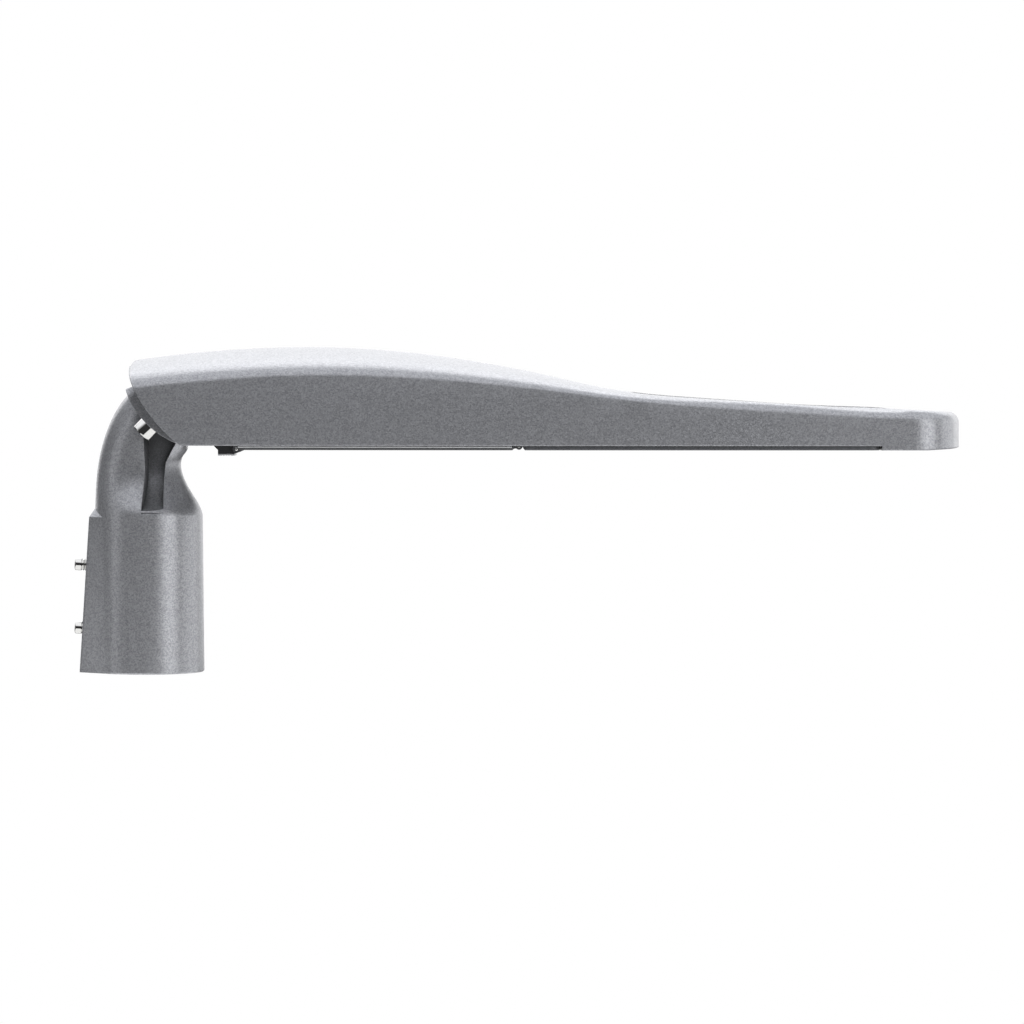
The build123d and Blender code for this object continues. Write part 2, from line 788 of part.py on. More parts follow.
# Side pockets: drafted walls and a floor that runs out towards the socket
floor_end_y, floor_end_z = pocket_floor_end
pocket_top_z = max(z for _, z in pocket_outline)
with BuildPart() as side_pockets:
    with BuildSketch(Plane.XZ.offset(-pocket_mouth_y)):
        with BuildLine():
            Polyline(*pocket_outline, close=True)
        make_face()
    extrude(amount=pocket_mouth_y - pocket_floor_y, taper=pocket_draft)
    with BuildSketch(Plane.YZ):
        with BuildLine():
            floor_start = (pocket_floor_y, pocket_floor_start_z)
            Polyline((floor_end_y, floor_end_z), (0, floor_end_z), (0, pocket_top_z), (pocket_floor_y, pocket_top_z),
                     floor_start)
            TangentArc(floor_start, (floor_end_y, floor_end_z), tangent=(0, -1))
        make_face()
    extrude(amount=far, both=True, mode=Mode.SUBTRACT)
    mirror(about=Plane.XZ)

with BuildPart() as pole_adapter:
    # Socket with a light draft
    with BuildSketch(Plane.XZ) as socket_profile:
        with BuildLine():
            Polyline((0, 0), (socket_outer_radius, 0), (socket_top_radius, socket_height), (0, socket_height),
                     close=True)
        make_face()
        chamfer(socket_profile.vertices().sort_by(Axis.X)[-1], mouth_chamfer)
    revolve(axis=Axis.Z)
    # Neck with its side pockets and cable way, ended inside the saddle plate
    loft([neck_foot.sketch, *neck_rings, neck_head.sketch])
    add(side_pockets.part, mode=Mode.SUBTRACT)
    add(cable_way.part, mode=Mode.SUBTRACT)
    add(tilt_sector(seat_radius / 2, saddle_outer_radius - neck_saddle_lap, saddle_start_angle, saddle_end_angle + 5.0,
                    0, saddle_half_width), mode=Mode.SUBTRACT)
    add(saddle_plate.part)
    # Screw pad
    loft([pad_section(0, pad_bottom_x, pad_half_width, *pad_flank_bottom),
          pad_section(pad_top_z, pad_bottom_x + pad_slope * pad_top_z, pad_half_width, *pad_flank_top),
          pad_section(*pad_run_out)], ruled=True)
    # Bore with three ribs that grip the pole
    with BuildSketch(Plane.XY):
        Circle(socket_outer_radius - socket_wall)
        for middle, span in ((180.0, rear_rib_span), (front_rib_angle, front_rib_span),
                             (-front_rib_angle, front_rib_span)):
            with BuildLine():
                start = math.radians(middle - span / 2)
                end = math.radians(middle + span / 2)
                reach = far / 2
                Polyline((0, 0), (reach * math.cos(start), reach * math.sin(start)),
                         (reach * math.cos(end), reach * math.sin(end)), close=True)
            make_face(mode=Mode.SUBTRACT)
        Circle(pole_bore_radius)
    extrude(amount=bore_depth, mode=Mode.SUBTRACT)
    # Cable window, bolt slots and washer recesses in the saddle
    window_reach = saddle_inner_radius * math.sin(math.radians(slot_half_sweep))
    window_half = grommet_hole_radius + window_reach + cable_window_margin
    with BuildSketch(radial_plane(slot_middle_angle, saddle_inner_radius - 3.0)):
        RectangleRounded(2 * cable_window_half_width, 2 * window_half, cable_window_half_width - 0.1)
    extrude(amount=saddle_thickness + 3.0, mode=Mode.SUBTRACT)
    slot_radius = bolt_radius + bolt_slot_clearance
    slot_reach = saddle_outer_radius * math.sin(math.radians(slot_half_sweep)) + slot_radius + 0.5
    recess_sweep = slot_half_sweep + math.degrees((washer_radius + washer_recess_clearance) / washer_seat_radius)
    for side in (-1, 1):
        add(tilt_sector(washer_seat_radius - seat_gap, saddle_outer_radius + 2.0,
                        slot_middle_angle - recess_sweep, slot_middle_angle + recess_sweep,
                        side * bolt_y, washer_radius + washer_recess_clearance), mode=Mode.SUBTRACT)
        with BuildSketch(radial_plane(slot_middle_angle, saddle_inner_radius - 3.0, side * bolt_y)):
            SlotOverall(2 * slot_reach, 2 * slot_radius, rotation=90)
        extrude(amount=saddle_thickness + 6.0, mode=Mode.SUBTRACT)
    # Clamp screw holes
    for height in clamp_screw_heights.values():
        with BuildSketch(clamp_axis_plane(height).offset(5.0)):
            Circle(clamp_screw_radius + clamp_screw_clearance)
        extrude(amount=-(socket_outer_radius + 5.0), mode=Mode.SUBTRACT)
pole_adapter.part.label = "pole_adapter"

# Clamp screws, their tips just outside the pole's surface
clamp_screws = {}
for place, height in clamp_screw_heights.items():
    tip = clamp_axis_plane(height).offset(pole_bore_radius + clamp_tip_gap + pad_bottom_x + pad_slope * height)
    with BuildPart() as clamp_screw:
        with BuildSketch(tip):
            Circle(clamp_screw_radius)
        extrude(amount=clamp_screw_length)
        ends = clamp_screw.faces().filter_by(GeomType.PLANE).edges()
        chamfer(ends, clamp_screw_chamfer)
        with BuildSketch(tip.offset(clamp_screw_length)):
            RegularPolygon(clamp_hex_radius, 6)
        extrude(amount=-clamp_hex_depth, mode=Mode.SUBTRACT)
    clamp_screw.part.label = "clamp_screw_" + place
    clamp_screws[place] = clamp_screw.part

# Tilt bolts and their saddle washers
with BuildPart() as tilt_bolts:
    for side in (-1, 1):
        add(cap_screw(radial_plane(bolt_angle, bolt_seat_radius, side * bolt_y), bolt_radius, bolt_shank_length,
                      bolt_head_radius, bolt_head_height, bolt_hex_radius, bolt_hex_depth, bolt_head_chamfer))
tilt_bolts.part.label = "tilt_bolts"

with BuildPart() as saddle_washers:
    for side in (-1, 1):
        with BuildSketch(radial_plane(bolt_angle, bolt_seat_radius, side * bolt_y)):
            Circle(washer_radius)
            Circle(bolt_radius + washer_hole_clearance, mode=Mode.SUBTRACT)
        extrude(amount=-2 * washer_thickness)
    washer_sweep = math.degrees(2 * washer_radius / seat_radius)
    add(tilt_sector(seat_radius / 2, washer_seat_radius, bolt_angle - washer_sweep, bolt_angle + washer_sweep,
                    0, saddle_half_width), mode=Mode.SUBTRACT)
saddle_washers.part.label = "saddle_washers"

# Cable grommet in the seat wall
seat_inner_radius = seat_radius - seat_wall
grommet_sweep = math.degrees(2 * grommet_flange_radius / seat_radius)
with BuildPart() as cable_grommet:
    flange_start = seat_inner_radius - grommet_flange_thickness
    with BuildSketch(radial_plane(bolt_angle, flange_start)):
        Circle(grommet_flange_radius)
    extrude(amount=2 * grommet_flange_thickness)
    add(tilt_sector(seat_radius / 2, seat_inner_radius, bolt_angle - grommet_sweep, bolt_angle + grommet_sweep,
                    0, saddle_half_width), mode=Mode.INTERSECT)
    with BuildSketch(radial_plane(bolt_angle, flange_start)):
        Circle(grommet_hole_radius - grommet_clearance)
    extrude(amount=far)
    add(tilt_sector(seat_radius / 2, seat_radius - grommet_recess, bolt_angle - grommet_sweep,
                    bolt_angle + grommet_sweep, 0, saddle_half_width), mode=Mode.INTERSECT)
    with BuildSketch(radial_plane(bolt_angle, 0)):
        Circle(grommet_bore_radius)
    extrude(amount=far, mode=Mode.SUBTRACT)
cable_grommet.part.label = "cable_grommet"

# Cable clamp bar on its two posts
clamp_bottom_z = compartment_floor_z + cable_clamp_post_height
clamp_top_z = clamp_bottom_z + cable_clamp_thickness
with BuildPart() as cable_clamp:
    with BuildSketch(Plane.XY.offset(clamp_bottom_z)):
        with Locations((cable_clamp_x, 0)):
            RectangleRounded(cable_clamp_length, 2 * cable_clamp_half_width, cable_clamp_length / 4)
        with Locations(*clamp_places):
            Circle(small_screw_radius + small_screw_clearance, mode=Mode.SUBTRACT)
    extrude(amount=cable_clamp_thickness)
    with BuildSketch(Plane.YZ.offset(cable_clamp_x)):
        with Locations((0, clamp_bottom_z - cable_clamp_thickness / 2)):
            Circle(cable_clamp_groove_radius)
    extrude(amount=cable_clamp_length, both=True, mode=Mode.SUBTRACT)
cable_clamp.part.label = "cable_clamp"

cable_clamp_screws = pan_screws([(x, y, clamp_top_z) for x, y in clamp_places], False, small_screw_radius,
                                cable_clamp_thickness + small_screw_length - 1.0, small_screw_head_radius,
                                small_screw_head_height)
cable_clamp_screws.label = "cable_clamp_screws"

earth_x, earth_y = earth_screw_place
earth_screw = pan_screws([(earth_x, earth_y, compartment_floor_z + earth_boss_height)], False, small_screw_radius,
                         small_screw_length - 1.0, earth_head_radius, small_screw_head_height)
earth_screw.label = "earth_screw"

# Gear tray: folded sheet under the roof posts
driver_end_x = driver_start_x + driver_length
driver_screw_places = [(driver_start_x - driver_foot / 2, driver_y), (driver_end_x + driver_foot / 2, driver_y)]
with BuildPart() as gear_tray:
    tray_length = tray_front_x - tray_rear_x
    with BuildSketch(Plane.XY.offset(tray_bottom_z)):
        with Locations(((tray_rear_x + tray_front_x) / 2, 0)):
            RectangleRounded(tray_length, 2 * tray_half_width, tray_corner)
        with Locations(*post_places, *driver_screw_places):
            Circle(small_screw_radius + small_screw_clearance, mode=Mode.SUBTRACT)
    extrude(amount=tray_thickness)
    with BuildSketch(Plane.XY.offset(tray_bottom_z)):
        for side in (-1, 1):
            with Locations(((tray_rear_x + tray_front_x) / 2, side * (tray_half_width - tray_thickness / 2))):
                Rectangle(tray_length - 2 * tray_corner, tray_thickness)
    extrude(amount=-tray_lip_height)
gear_tray.part.label = "gear_tray"

tray_screws = pan_screws([(x, y, tray_bottom_z) for x, y in post_places], True, small_screw_radius,
                         tray_thickness + small_screw_length - 1.0, small_screw_head_radius, small_screw_head_height)
tray_screws.label = "tray_screws"

# Gear hung from the tray
with BuildPart() as led_driver:
    with BuildSketch(Plane.XY.offset(tray_bottom_z)):
        with Locations((driver_start_x + driver_length / 2, driver_y)):
            RectangleRounded(driver_length, driver_width, driver_corner)
    extrude(amount=-driver_height)
    chamfer(led_driver.faces().sort_by(Axis.Z)[0].edges(), case_edge_chamfer)
    with BuildSketch(Plane.XY.offset(tray_bottom_z)):
        with Locations((driver_start_x + driver_length / 2, driver_y)):
            Rectangle(driver_length + 2 * driver_foot, driver_width / 2)
        with Locations(*driver_screw_places):
            Circle(small_screw_radius + small_screw_clearance, mode=Mode.SUBTRACT)
    extrude(amount=-driver_foot_thickness)
led_driver.part.label = "led_driver"

driver_screws = pan_screws([(x, y, tray_bottom_z - driver_foot_thickness) for x, y in driver_screw_places], True,
                           small_screw_radius, driver_foot_thickness + tray_thickness + 1.0,
                           small_screw_head_radius, small_screw_head_height)
driver_screws.label = "driver_screws"

with BuildPart() as surge_protector:
    with BuildSketch(Plane.XY.offset(tray_bottom_z)):
        with Locations((surge_start_x + surge_length / 2, surge_y)):
            RectangleRounded(surge_length, surge_width, driver_corner)
    extrude(amount=-surge_height)
    chamfer(surge_protector.faces().sort_by(Axis.Z)[0].edges(), case_edge_chamfer)
surge_protector.part.label = "surge_protector"

with BuildPart() as terminal_block:
    with BuildSketch(Plane.XY.offset(tray_bottom_z)):
        with Locations((terminal_start_x + terminal_length / 2, terminal_y)):
            Rectangle(terminal_length, terminal_width)
    extrude(amount=-terminal_height)
    way_pitch = terminal_width / terminal_ways
    with BuildSketch(Plane.XY.offset(tray_bottom_z - terminal_height)):
        with Locations((terminal_start_x + terminal_length / 2, terminal_y)):
            with GridLocations(terminal_length / 2, way_pitch, 2, terminal_ways):
                Rectangle(way_pitch / 2, way_pitch / 2)
    extrude(amount=terminal_height / 2, mode=Mode.SUBTRACT)
terminal_block.part.label = "terminal_block"

# Isolator: sockets on the tray, blades on the door
isolator_middle_x = isolator_start_x + isolator_length / 2
isolator_bottom_z = tray_bottom_z - isolator_height
blade_places = [(isolator_middle_x, isolator_y + isolator_pitch * (way - (isolator_ways - 1) / 2))
                for way in range(isolator_ways)]
with BuildPart() as isolator_socket:
    with BuildSketch(Plane.XY.offset(tray_bottom_z)):
        with Locations((isolator_middle_x, isolator_y)):
            RectangleRounded(isolator_length, isolator_width, driver_corner)
    extrude(amount=-isolator_height)
    with BuildSketch(Plane.XY.offset(isolator_bottom_z)):
        with Locations(*blade_places):
            Rectangle(blade_width + 2 * blade_slot_clearance, blade_thickness + 2 * blade_side_clearance)
    extrude(amount=blade_reach + 2.0, mode=Mode.SUBTRACT)
isolator_socket.part.label = "isolator_socket"

with BuildPart() as isolator_blades:
    with BuildSketch(Plane.XY.offset(door_top_z)):
        with Locations((isolator_middle_x, isolator_y)):
            RectangleRounded(blade_width + blade_base_margin, isolator_pitch * (isolator_ways - 1) + 2 * blade_base_margin,
                             driver_corner)
    extrude(amount=blade_base_height)
    with BuildSketch(Plane.XY.offset(door_top_z + blade_base_height)):
        with Locations(*blade_places):
            Rectangle(blade_width, blade_thickness)
    extrude(amount=isolator_bottom_z + blade_reach - 2.0 - door_top_z - blade_base_height)
isolator_blades.part.label = "isolator_blades"

# Short leads between the gear
gear_lead_z = tray_bottom_z - gear_lead_drop
with BuildPart() as gear_leads:
    with BuildSketch(Plane.XZ.offset(-(terminal_y - terminal_width / 2))):
        for step in (1, 2):
            with Locations((terminal_start_x + terminal_length * step / 3, gear_lead_z)):
                Circle(gear_lead_radius)
    extrude(amount=terminal_y - terminal_width / 2 - driver_y - driver_width / 2)
    with BuildSketch(Plane.YZ.offset(terminal_start_x + terminal_length)):
        for _, y in blade_places:
            with Locations((y, gear_lead_z)):
                Circle(gear_lead_radius)
    extrude(amount=isolator_start_x - terminal_start_x - terminal_length)
    with BuildSketch(Plane.YZ.offset(isolator_start_x + isolator_length)):
        for _, y in blade_places[:2]:
            with Locations((y, gear_lead_z)):
                Circle(gear_lead_radius)
    extrude(amount=surge_start_x - isolator_start_x - isolator_length)
gear_leads.part.label = "gear_leads"

# Lead from the driver to the first LED board, with its gland in the wall
board_start_x = module_first_x - module_width / 2
with BuildPart() as driver_lead:
    with BuildSketch(Plane.YZ.offset(driver_end_x)):
        with Locations((lead_y, lead_z)):
            Circle(lead_radius)
    extrude(amount=board_start_x - driver_end_x)
driver_lead.part.label = "driver_lead"

with BuildPart() as lead_gland:
    with BuildSketch(Plane.YZ.offset(compartment_front_x)):
        with Locations((lead_y, lead_z)):
            Circle(lead_gland_flange_radius)
    extrude(amount=-lead_gland_flange_thickness)
    with BuildSketch(Plane.YZ.offset(compartment_front_x)):
        with Locations((lead_y, lead_z)):
            Circle(lead_gland_radius - lead_gland_clearance)
    extrude(amount=window_start_x - compartment_front_x)
    with BuildSketch(Plane.YZ.offset(compartment_front_x - lead_gland_flange_thickness)):
        with Locations((lead_y, lead_z)):
            Circle(lead_radius)
    extrude(amount=far, mode=Mode.SUBTRACT)
lead_gland.part.label = "lead_gland"

with BuildPart() as breather_vent:
    with BuildSketch(Plane.YZ.offset(compartment_front_x)):
        with Locations((vent_y, vent_z)):
            Circle(vent_cap_radius)
    extrude(amount=-vent_cap_thickness)
    with BuildSketch(Plane.YZ.offset(compartment_front_x)):
        with Locations((vent_y, vent_z)):
            Circle(vent_stem_radius)
            Circle(vent_stem_radius / 2, mode=Mode.SUBTRACT)
    extrude(amount=window_start_x - compartment_front_x)
breather_vent.part.label = "breather_vent"

# LED modules: board, chips and lens plate, repeated along the deck
with BuildPart() as led_board:
    with BuildSketch(Plane.XY.offset(board_bottom_z)):
        with Locations((module_first_x, 0)):
            RectangleRounded(module_width, module_length, lens_plate_corner)
            with Locations(*module_corners):
                Circle(module_screw_radius + small_screw_clearance, mode=Mode.SUBTRACT)
    extrude(amount=board_thickness)

with BuildPart() as led_chips:
    with BuildSketch(Plane.XY.offset(board_bottom_z)):
        with Locations((module_first_x, 0)):
            with GridLocations(led_pitch_x, led_pitch_y, led_rows, leds_per_row):
                Rectangle(led_size, led_size)
    extrude(amount=-led_height)

with BuildPart() as lens_array:
    plate_width = module_width - 2 * lens_plate_margin
    with BuildSketch(Plane.XY.offset(lens_plate_top_z - lens_plate_thickness)):
        with Locations((module_first_x, 0)):
            RectangleRounded(plate_width, lens_plate_length, lens_plate_corner)
            with Locations(*module_corners):
                Circle(module_screw_radius + small_screw_clearance, mode=Mode.SUBTRACT)
    extrude(amount=lens_plate_thickness)
    with BuildSketch(Plane.XY.offset(lens_plate_top_z)):
        with Locations((module_first_x, 0)):
            RectangleRounded(plate_width, lens_plate_length, lens_plate_corner)
            RectangleRounded(plate_width - 2 * lens_rim_width, lens_plate_length - 2 * lens_rim_width,
                             lens_plate_corner - lens_rim_width, mode=Mode.SUBTRACT)
    extrude(amount=led_height + led_top_gap)
    with BuildSketch(Plane.XY.offset(lens_plate_top_z - lens_plate_thickness)) as lens_plan:
        with Locations((module_first_x, 0)):
            with GridLocations(led_pitch_x, led_pitch_y, led_rows, leds_per_row):
                Rectangle(lens_width, lens_length)
        chamfer(lens_plan.vertices(), lens_corner)
    extrude(amount=-lens_height)

modules = []
for index in range(module_count):
    shift = Location((module_pitch * index, 0, 0))
    for piece, name in ((led_board, "led_board"), (led_chips, "led_chips"), (lens_array, "lens_array")):
        copy = piece.part.moved(shift)
        copy.label = name + "_" + str(index + 1)
        modules.append(copy)

lens_plate_bottom_z = lens_plate_top_z - lens_plate_thickness
module_screws = pan_screws([(x, y, lens_plate_bottom_z) for x, y in module_screw_places], True, module_screw_radius,
                           deck_z - lens_plate_bottom_z + module_screw_depth - 0.3, module_screw_head_radius,
                           module_screw_head_height)
module_screws.label = "module_screws"

# Glass, its gasket and the frame under them
glass_bottom_z = glass_seat_z - glass_gasket_thickness - glass_thickness
glass_start_x = window_start_x - glass_overlap
glass_end_x = window_end_x + glass_overlap
glass_inset = window_inset - glass_overlap
with BuildPart() as glass_gasket:
    gasket_z = glass_seat_z - glass_gasket_thickness
    extrude(plan_outline(gasket_z, glass_start_x, glass_end_x, glass_inset, window_corner, window_corner),
            amount=glass_gasket_thickness)
    extrude(plan_outline(gasket_z, window_start_x, window_end_x, window_inset, window_corner, window_corner),
            amount=glass_gasket_thickness, mode=Mode.SUBTRACT)
glass_gasket.part.label = "glass_gasket"

with BuildPart() as window_glass:
    extrude(plan_outline(glass_bottom_z, glass_start_x, glass_end_x, glass_inset, window_corner, window_corner),
            amount=glass_thickness)
window_glass.part.label = "window_glass"

with BuildPart() as glass_frame:
    extrude(plan_outline(lip_z, frame_start_x, frame_end_x, frame_inset, frame_corner, frame_front_corner),
            amount=rim_z - lip_z)
    chamfer(glass_frame.faces().sort_by(Axis.Z)[0].edges(), frame_edge_chamfer)
    extrude(plan_outline(lip_z, glass_start_x + frame_overlap, glass_end_x - frame_overlap,
                         glass_inset + frame_overlap, window_corner, window_corner),
            amount=rim_z - lip_z, mode=Mode.SUBTRACT)
    extrude(plan_outline(glass_bottom_z, window_start_x - ledge, window_end_x + ledge, window_inset - ledge,
                         window_corner, window_corner),
            amount=rim_z - glass_bottom_z, mode=Mode.SUBTRACT)
    frame_screw_seat_z = lip_z + frame_screw_head_height + frame_screw_clearance
    with BuildSketch(Plane.XY.offset(lip_z)):
        with Locations(*window_screw_places):
            Circle(frame_screw_head_radius + frame_screw_clearance)
    extrude(amount=frame_screw_seat_z - lip_z, mode=Mode.SUBTRACT)
    with BuildSketch(Plane.XY.offset(lip_z)):
        with Locations(*window_screw_places):
            Circle(frame_screw_radius + frame_screw_clearance)
    extrude(amount=rim_z - lip_z, mode=Mode.SUBTRACT)
glass_frame.part.label = "glass_frame"

frame_screws = pan_screws([(x, y, frame_screw_seat_z) for x, y in window_screw_places], True, frame_screw_radius,
                          rim_z - frame_screw_seat_z + frame_screw_length - 0.5, frame_screw_head_radius,
                          frame_screw_head_height)
frame_screws.label = "frame_screws"

# Door gasket, pressed into its groove
with BuildPart() as door_gasket:
    rings = (gasket_offset + gasket_width - gasket_side_clearance, gasket_offset + gasket_side_clearance)
    height = gasket_depth + gasket_proud
    for ring, mode in zip(rings, (Mode.ADD, Mode.SUBTRACT)):
        extrude(plan_outline(rim_z - gasket_proud, door_opening_rear_x - ring, compartment_front_x + ring,
                             door_opening_inset - ring, door_opening_corner + ring, door_opening_corner + ring),
                amount=height, mode=mode)
door_gasket.part.label = "door_gasket"

# Gear door: plate, upstand, ribs, hinge knuckles and latch ears
with BuildPart() as gear_door:
    extrude(plan_outline(door_bottom_z, door_rear_x, door_front_x, door_side_inset, door_rear_corner,
                         door_front_corner), amount=door_plate)
    chamfer(gear_door.faces().sort_by(Axis.Z)[0].edges(), door_edge_chamfer)
    wall_outer = door_wall_gap
    wall_inner = door_wall_gap + door_wall_thickness
    with BuildSketch(Plane.XY.offset(door_top_z)):
        add(plan_outline(door_top_z, door_opening_rear_x + wall_outer, compartment_front_x - wall_outer,
                         door_opening_inset + wall_outer, door_opening_corner - wall_outer,
                         door_opening_corner - wall_outer))
        add(plan_outline(door_top_z, door_opening_rear_x + wall_inner, compartment_front_x - wall_inner,
                         door_opening_inset + wall_inner, door_opening_corner - wall_inner,
                         door_opening_corner - wall_inner), mode=Mode.SUBTRACT)
    extrude(amount=door_wall_height)
    rib_length = compartment_front_x - door_opening_rear_x - 2 * door_rib_end_gap
    with BuildSketch(Plane.XY.offset(door_top_z)):
        with Locations(((compartment_front_x + door_opening_rear_x) / 2, 0)):
            with GridLocations(1, door_rib_pitch, 1, door_rib_count):
                Rectangle(rib_length, door_rib_thickness)
    extrude(amount=door_rib_height)
    for side in (-1, 1):
        with BuildSketch(Plane.XZ.offset(-side * hinge_y)):
            with BuildLine():
                Polyline((door_front_x - door_front_corner, door_top_z), (hinge_x, door_top_z), (hinge_x, hinge_z - 1.5),
                         (door_front_x - door_front_corner, door_bottom_z + 0.5), close=True)
            make_face()
            with Locations((hinge_x, hinge_z)):
                Circle(knuckle_radius)
                Circle(hinge_pin_radius + hinge_pin_clearance, mode=Mode.SUBTRACT)
        extrude(amount=knuckle_length / 2, both=True)
        ear_y = side * (latch_half_width + latch_side_gap + latch_ear_thickness / 2)
        with BuildSketch(Plane.XZ.offset(-ear_y)):
            with BuildLine():
                Polyline((latch_pin_x, latch_pin_z + latch_eye_radius), (door_rear_x + latch_eye_radius, door_top_z - 0.5),
                         (door_rear_x + 2 * latch_eye_radius, door_bottom_z + 0.5),
                         (latch_pin_x, latch_pin_z - latch_eye_radius), close=True)
            make_face()
            with Locations((latch_pin_x, latch_pin_z)):
                Circle(latch_eye_radius)
                Circle(latch_pin_radius + latch_pin_clearance, mode=Mode.SUBTRACT)
        extrude(amount=latch_ear_thickness / 2, both=True)
gear_door.part.label = "gear_door"

with BuildPart() as hinge_pins:
    for side in (-1, 1):
        with BuildSketch(Plane.XZ.offset(-side * hinge_y)):
            with Locations((hinge_x, hinge_z)):
                Circle(hinge_pin_radius)
        extrude(amount=knuckle_length / 2 + lug_gap + lug_length, both=True)
hinge_pins.part.label = "hinge_pins"

# Latch: lever with its nose and thumb plate, and the pin it turns on
with BuildPart() as latch_lever:
    latch_top_z = rim_z - latch_top_gap
    with BuildSketch(Plane.XZ):
        with BuildLine():
            Polyline((latch_tip_x, latch_top_z), (latch_heel_x, latch_top_z - latch_heel_x + latch_tip_x),
                     (latch_heel_x, latch_bottom_z), (latch_pin_x - latch_pin_radius, latch_bottom_z),
                     (latch_pin_x, latch_pin_z - latch_eye_radius), (latch_pin_x, latch_top_z), close=True)
        make_face()
        with Locations((latch_pin_x, latch_pin_z)):
            Circle(latch_eye_radius)
            Circle(latch_pin_radius + latch_pin_clearance, mode=Mode.SUBTRACT)
    extrude(amount=latch_half_width, both=True)
    with BuildSketch(Plane.XZ):
        with Locations((latch_nose_x, rim_z)):
            Circle(latch_nose_radius)
        with Locations((latch_nose_x, rim_z - latch_top_gap / 2 - 0.5)):
            Rectangle(2 * latch_nose_radius, latch_top_gap + 1.0)
    extrude(amount=latch_nose_half_width, both=True)
latch_lever.part.label = "latch_lever"

with BuildPart() as latch_plate:
    with BuildSketch(Plane.XY.offset(latch_bottom_z)):
        with Locations(((latch_heel_x + latch_pin_x - latch_pin_radius) / 2, 0)):
            RectangleRounded(latch_pin_x - latch_pin_radius - latch_heel_x, 2 * latch_half_width, 2.0)
    extrude(amount=-latch_plate_thickness)
latch_plate.part.label = "latch_plate"

with BuildPart() as latch_pin:
    with BuildSketch(Plane.XZ):
        with Locations((latch_pin_x, latch_pin_z)):
            Circle(latch_pin_radius)
    extrude(amount=latch_half_width + latch_side_gap + latch_ear_thickness + 0.4, both=True)
latch_pin.part.label = "latch_pin"

with BuildPart() as latch_strike:
    with BuildSketch(Plane.XY.offset(rim_z)):
        with Locations((latch_nose_x, 0)):
            RectangleRounded(strike_length, 2 * strike_half_width, strike_corner)
            Rectangle(2 * (latch_nose_radius + strike_clearance), 2 * (latch_nose_half_width + strike_clearance),
                      mode=Mode.SUBTRACT)
        with Locations(*strike_screw_places):
            Circle(strike_screw_radius + small_screw_clearance, mode=Mode.SUBTRACT)
    extrude(amount=strike_thickness)
latch_strike.part.label = "latch_strike"

strike_screws = pan_screws([(x, y, rim_z) for x, y in strike_screw_places], True, strike_screw_radius,
                           strike_screw_length - 0.3, strike_screw_head_radius, strike_screw_head_height)
strike_screws.label = "strike_screws"

upper_housing.part.label = "upper_housing"
os.makedirs("parts", exist_ok=True)
pieces = [
    pole_adapter.part, *clamp_screws.values(), upper_housing.part, tilt_bolts.part, saddle_washers.part,
    cable_grommet.part, cable_clamp.part, cable_clamp_screws, earth_screw, gear_tray.part, tray_screws,
    led_driver.part, driver_screws, surge_protector.part, terminal_block.part, isolator_socket.part,
    gear_leads.part, driver_lead.part, lead_gland.part, breather_vent.part, *modules, module_screws,
    glass_gasket.part, window_glass.part, glass_frame.part, frame_screws, door_gasket.part, hinge_pins.part,
    latch_strike.part, strike_screws, gear_door.part, isolator_blades.part, latch_pin.part, latch_lever.part,
    latch_plate.part,
]
for piece in pieces:
    export_step(piece, "parts/" + piece.label + ".step")
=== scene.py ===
import json
import logging
import math
from dataclasses import dataclass, field
from enum import Enum
from typing import Sequence

import bmesh
import bpy
import numpy as np
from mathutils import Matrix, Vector

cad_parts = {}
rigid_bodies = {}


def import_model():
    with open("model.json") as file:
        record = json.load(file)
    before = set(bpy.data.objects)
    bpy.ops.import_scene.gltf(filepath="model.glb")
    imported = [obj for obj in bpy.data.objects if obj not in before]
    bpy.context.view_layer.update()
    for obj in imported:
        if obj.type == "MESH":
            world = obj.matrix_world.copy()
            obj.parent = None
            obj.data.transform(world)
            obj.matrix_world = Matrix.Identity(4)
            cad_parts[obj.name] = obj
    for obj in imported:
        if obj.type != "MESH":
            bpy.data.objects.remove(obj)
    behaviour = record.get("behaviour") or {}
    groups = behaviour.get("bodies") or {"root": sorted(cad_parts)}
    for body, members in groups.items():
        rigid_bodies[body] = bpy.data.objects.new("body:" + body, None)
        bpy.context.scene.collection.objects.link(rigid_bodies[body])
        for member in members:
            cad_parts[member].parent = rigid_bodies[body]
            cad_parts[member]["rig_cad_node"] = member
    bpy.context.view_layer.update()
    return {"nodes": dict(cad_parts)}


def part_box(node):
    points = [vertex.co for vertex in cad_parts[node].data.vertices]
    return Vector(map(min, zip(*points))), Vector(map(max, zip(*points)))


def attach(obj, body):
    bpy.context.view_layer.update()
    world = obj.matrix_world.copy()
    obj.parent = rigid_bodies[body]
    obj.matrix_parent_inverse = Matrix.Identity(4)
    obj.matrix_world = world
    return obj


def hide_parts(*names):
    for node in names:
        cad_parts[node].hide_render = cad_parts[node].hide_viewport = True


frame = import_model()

log = logging.getLogger("street_light")

MM = 0.001
TURN = 2 * math.pi
DOWN = (0.0, 0.0, -1.0)
UP = (0.0, 0.0, 1.0)
ALONG_X = (1.0, 0.0, 0.0)
ALONG_Y = (0.0, 1.0, 0.0)


class Body(Enum):
    """The moving bodies that new pieces ride on."""

    HEAD = "head"
    DOOR = "gear_door"
    LATCH = "latch"
    UPPER_CLAMP = "clamp_screw_upper"
    LOWER_CLAMP = "clamp_screw_lower"


# Surfaces


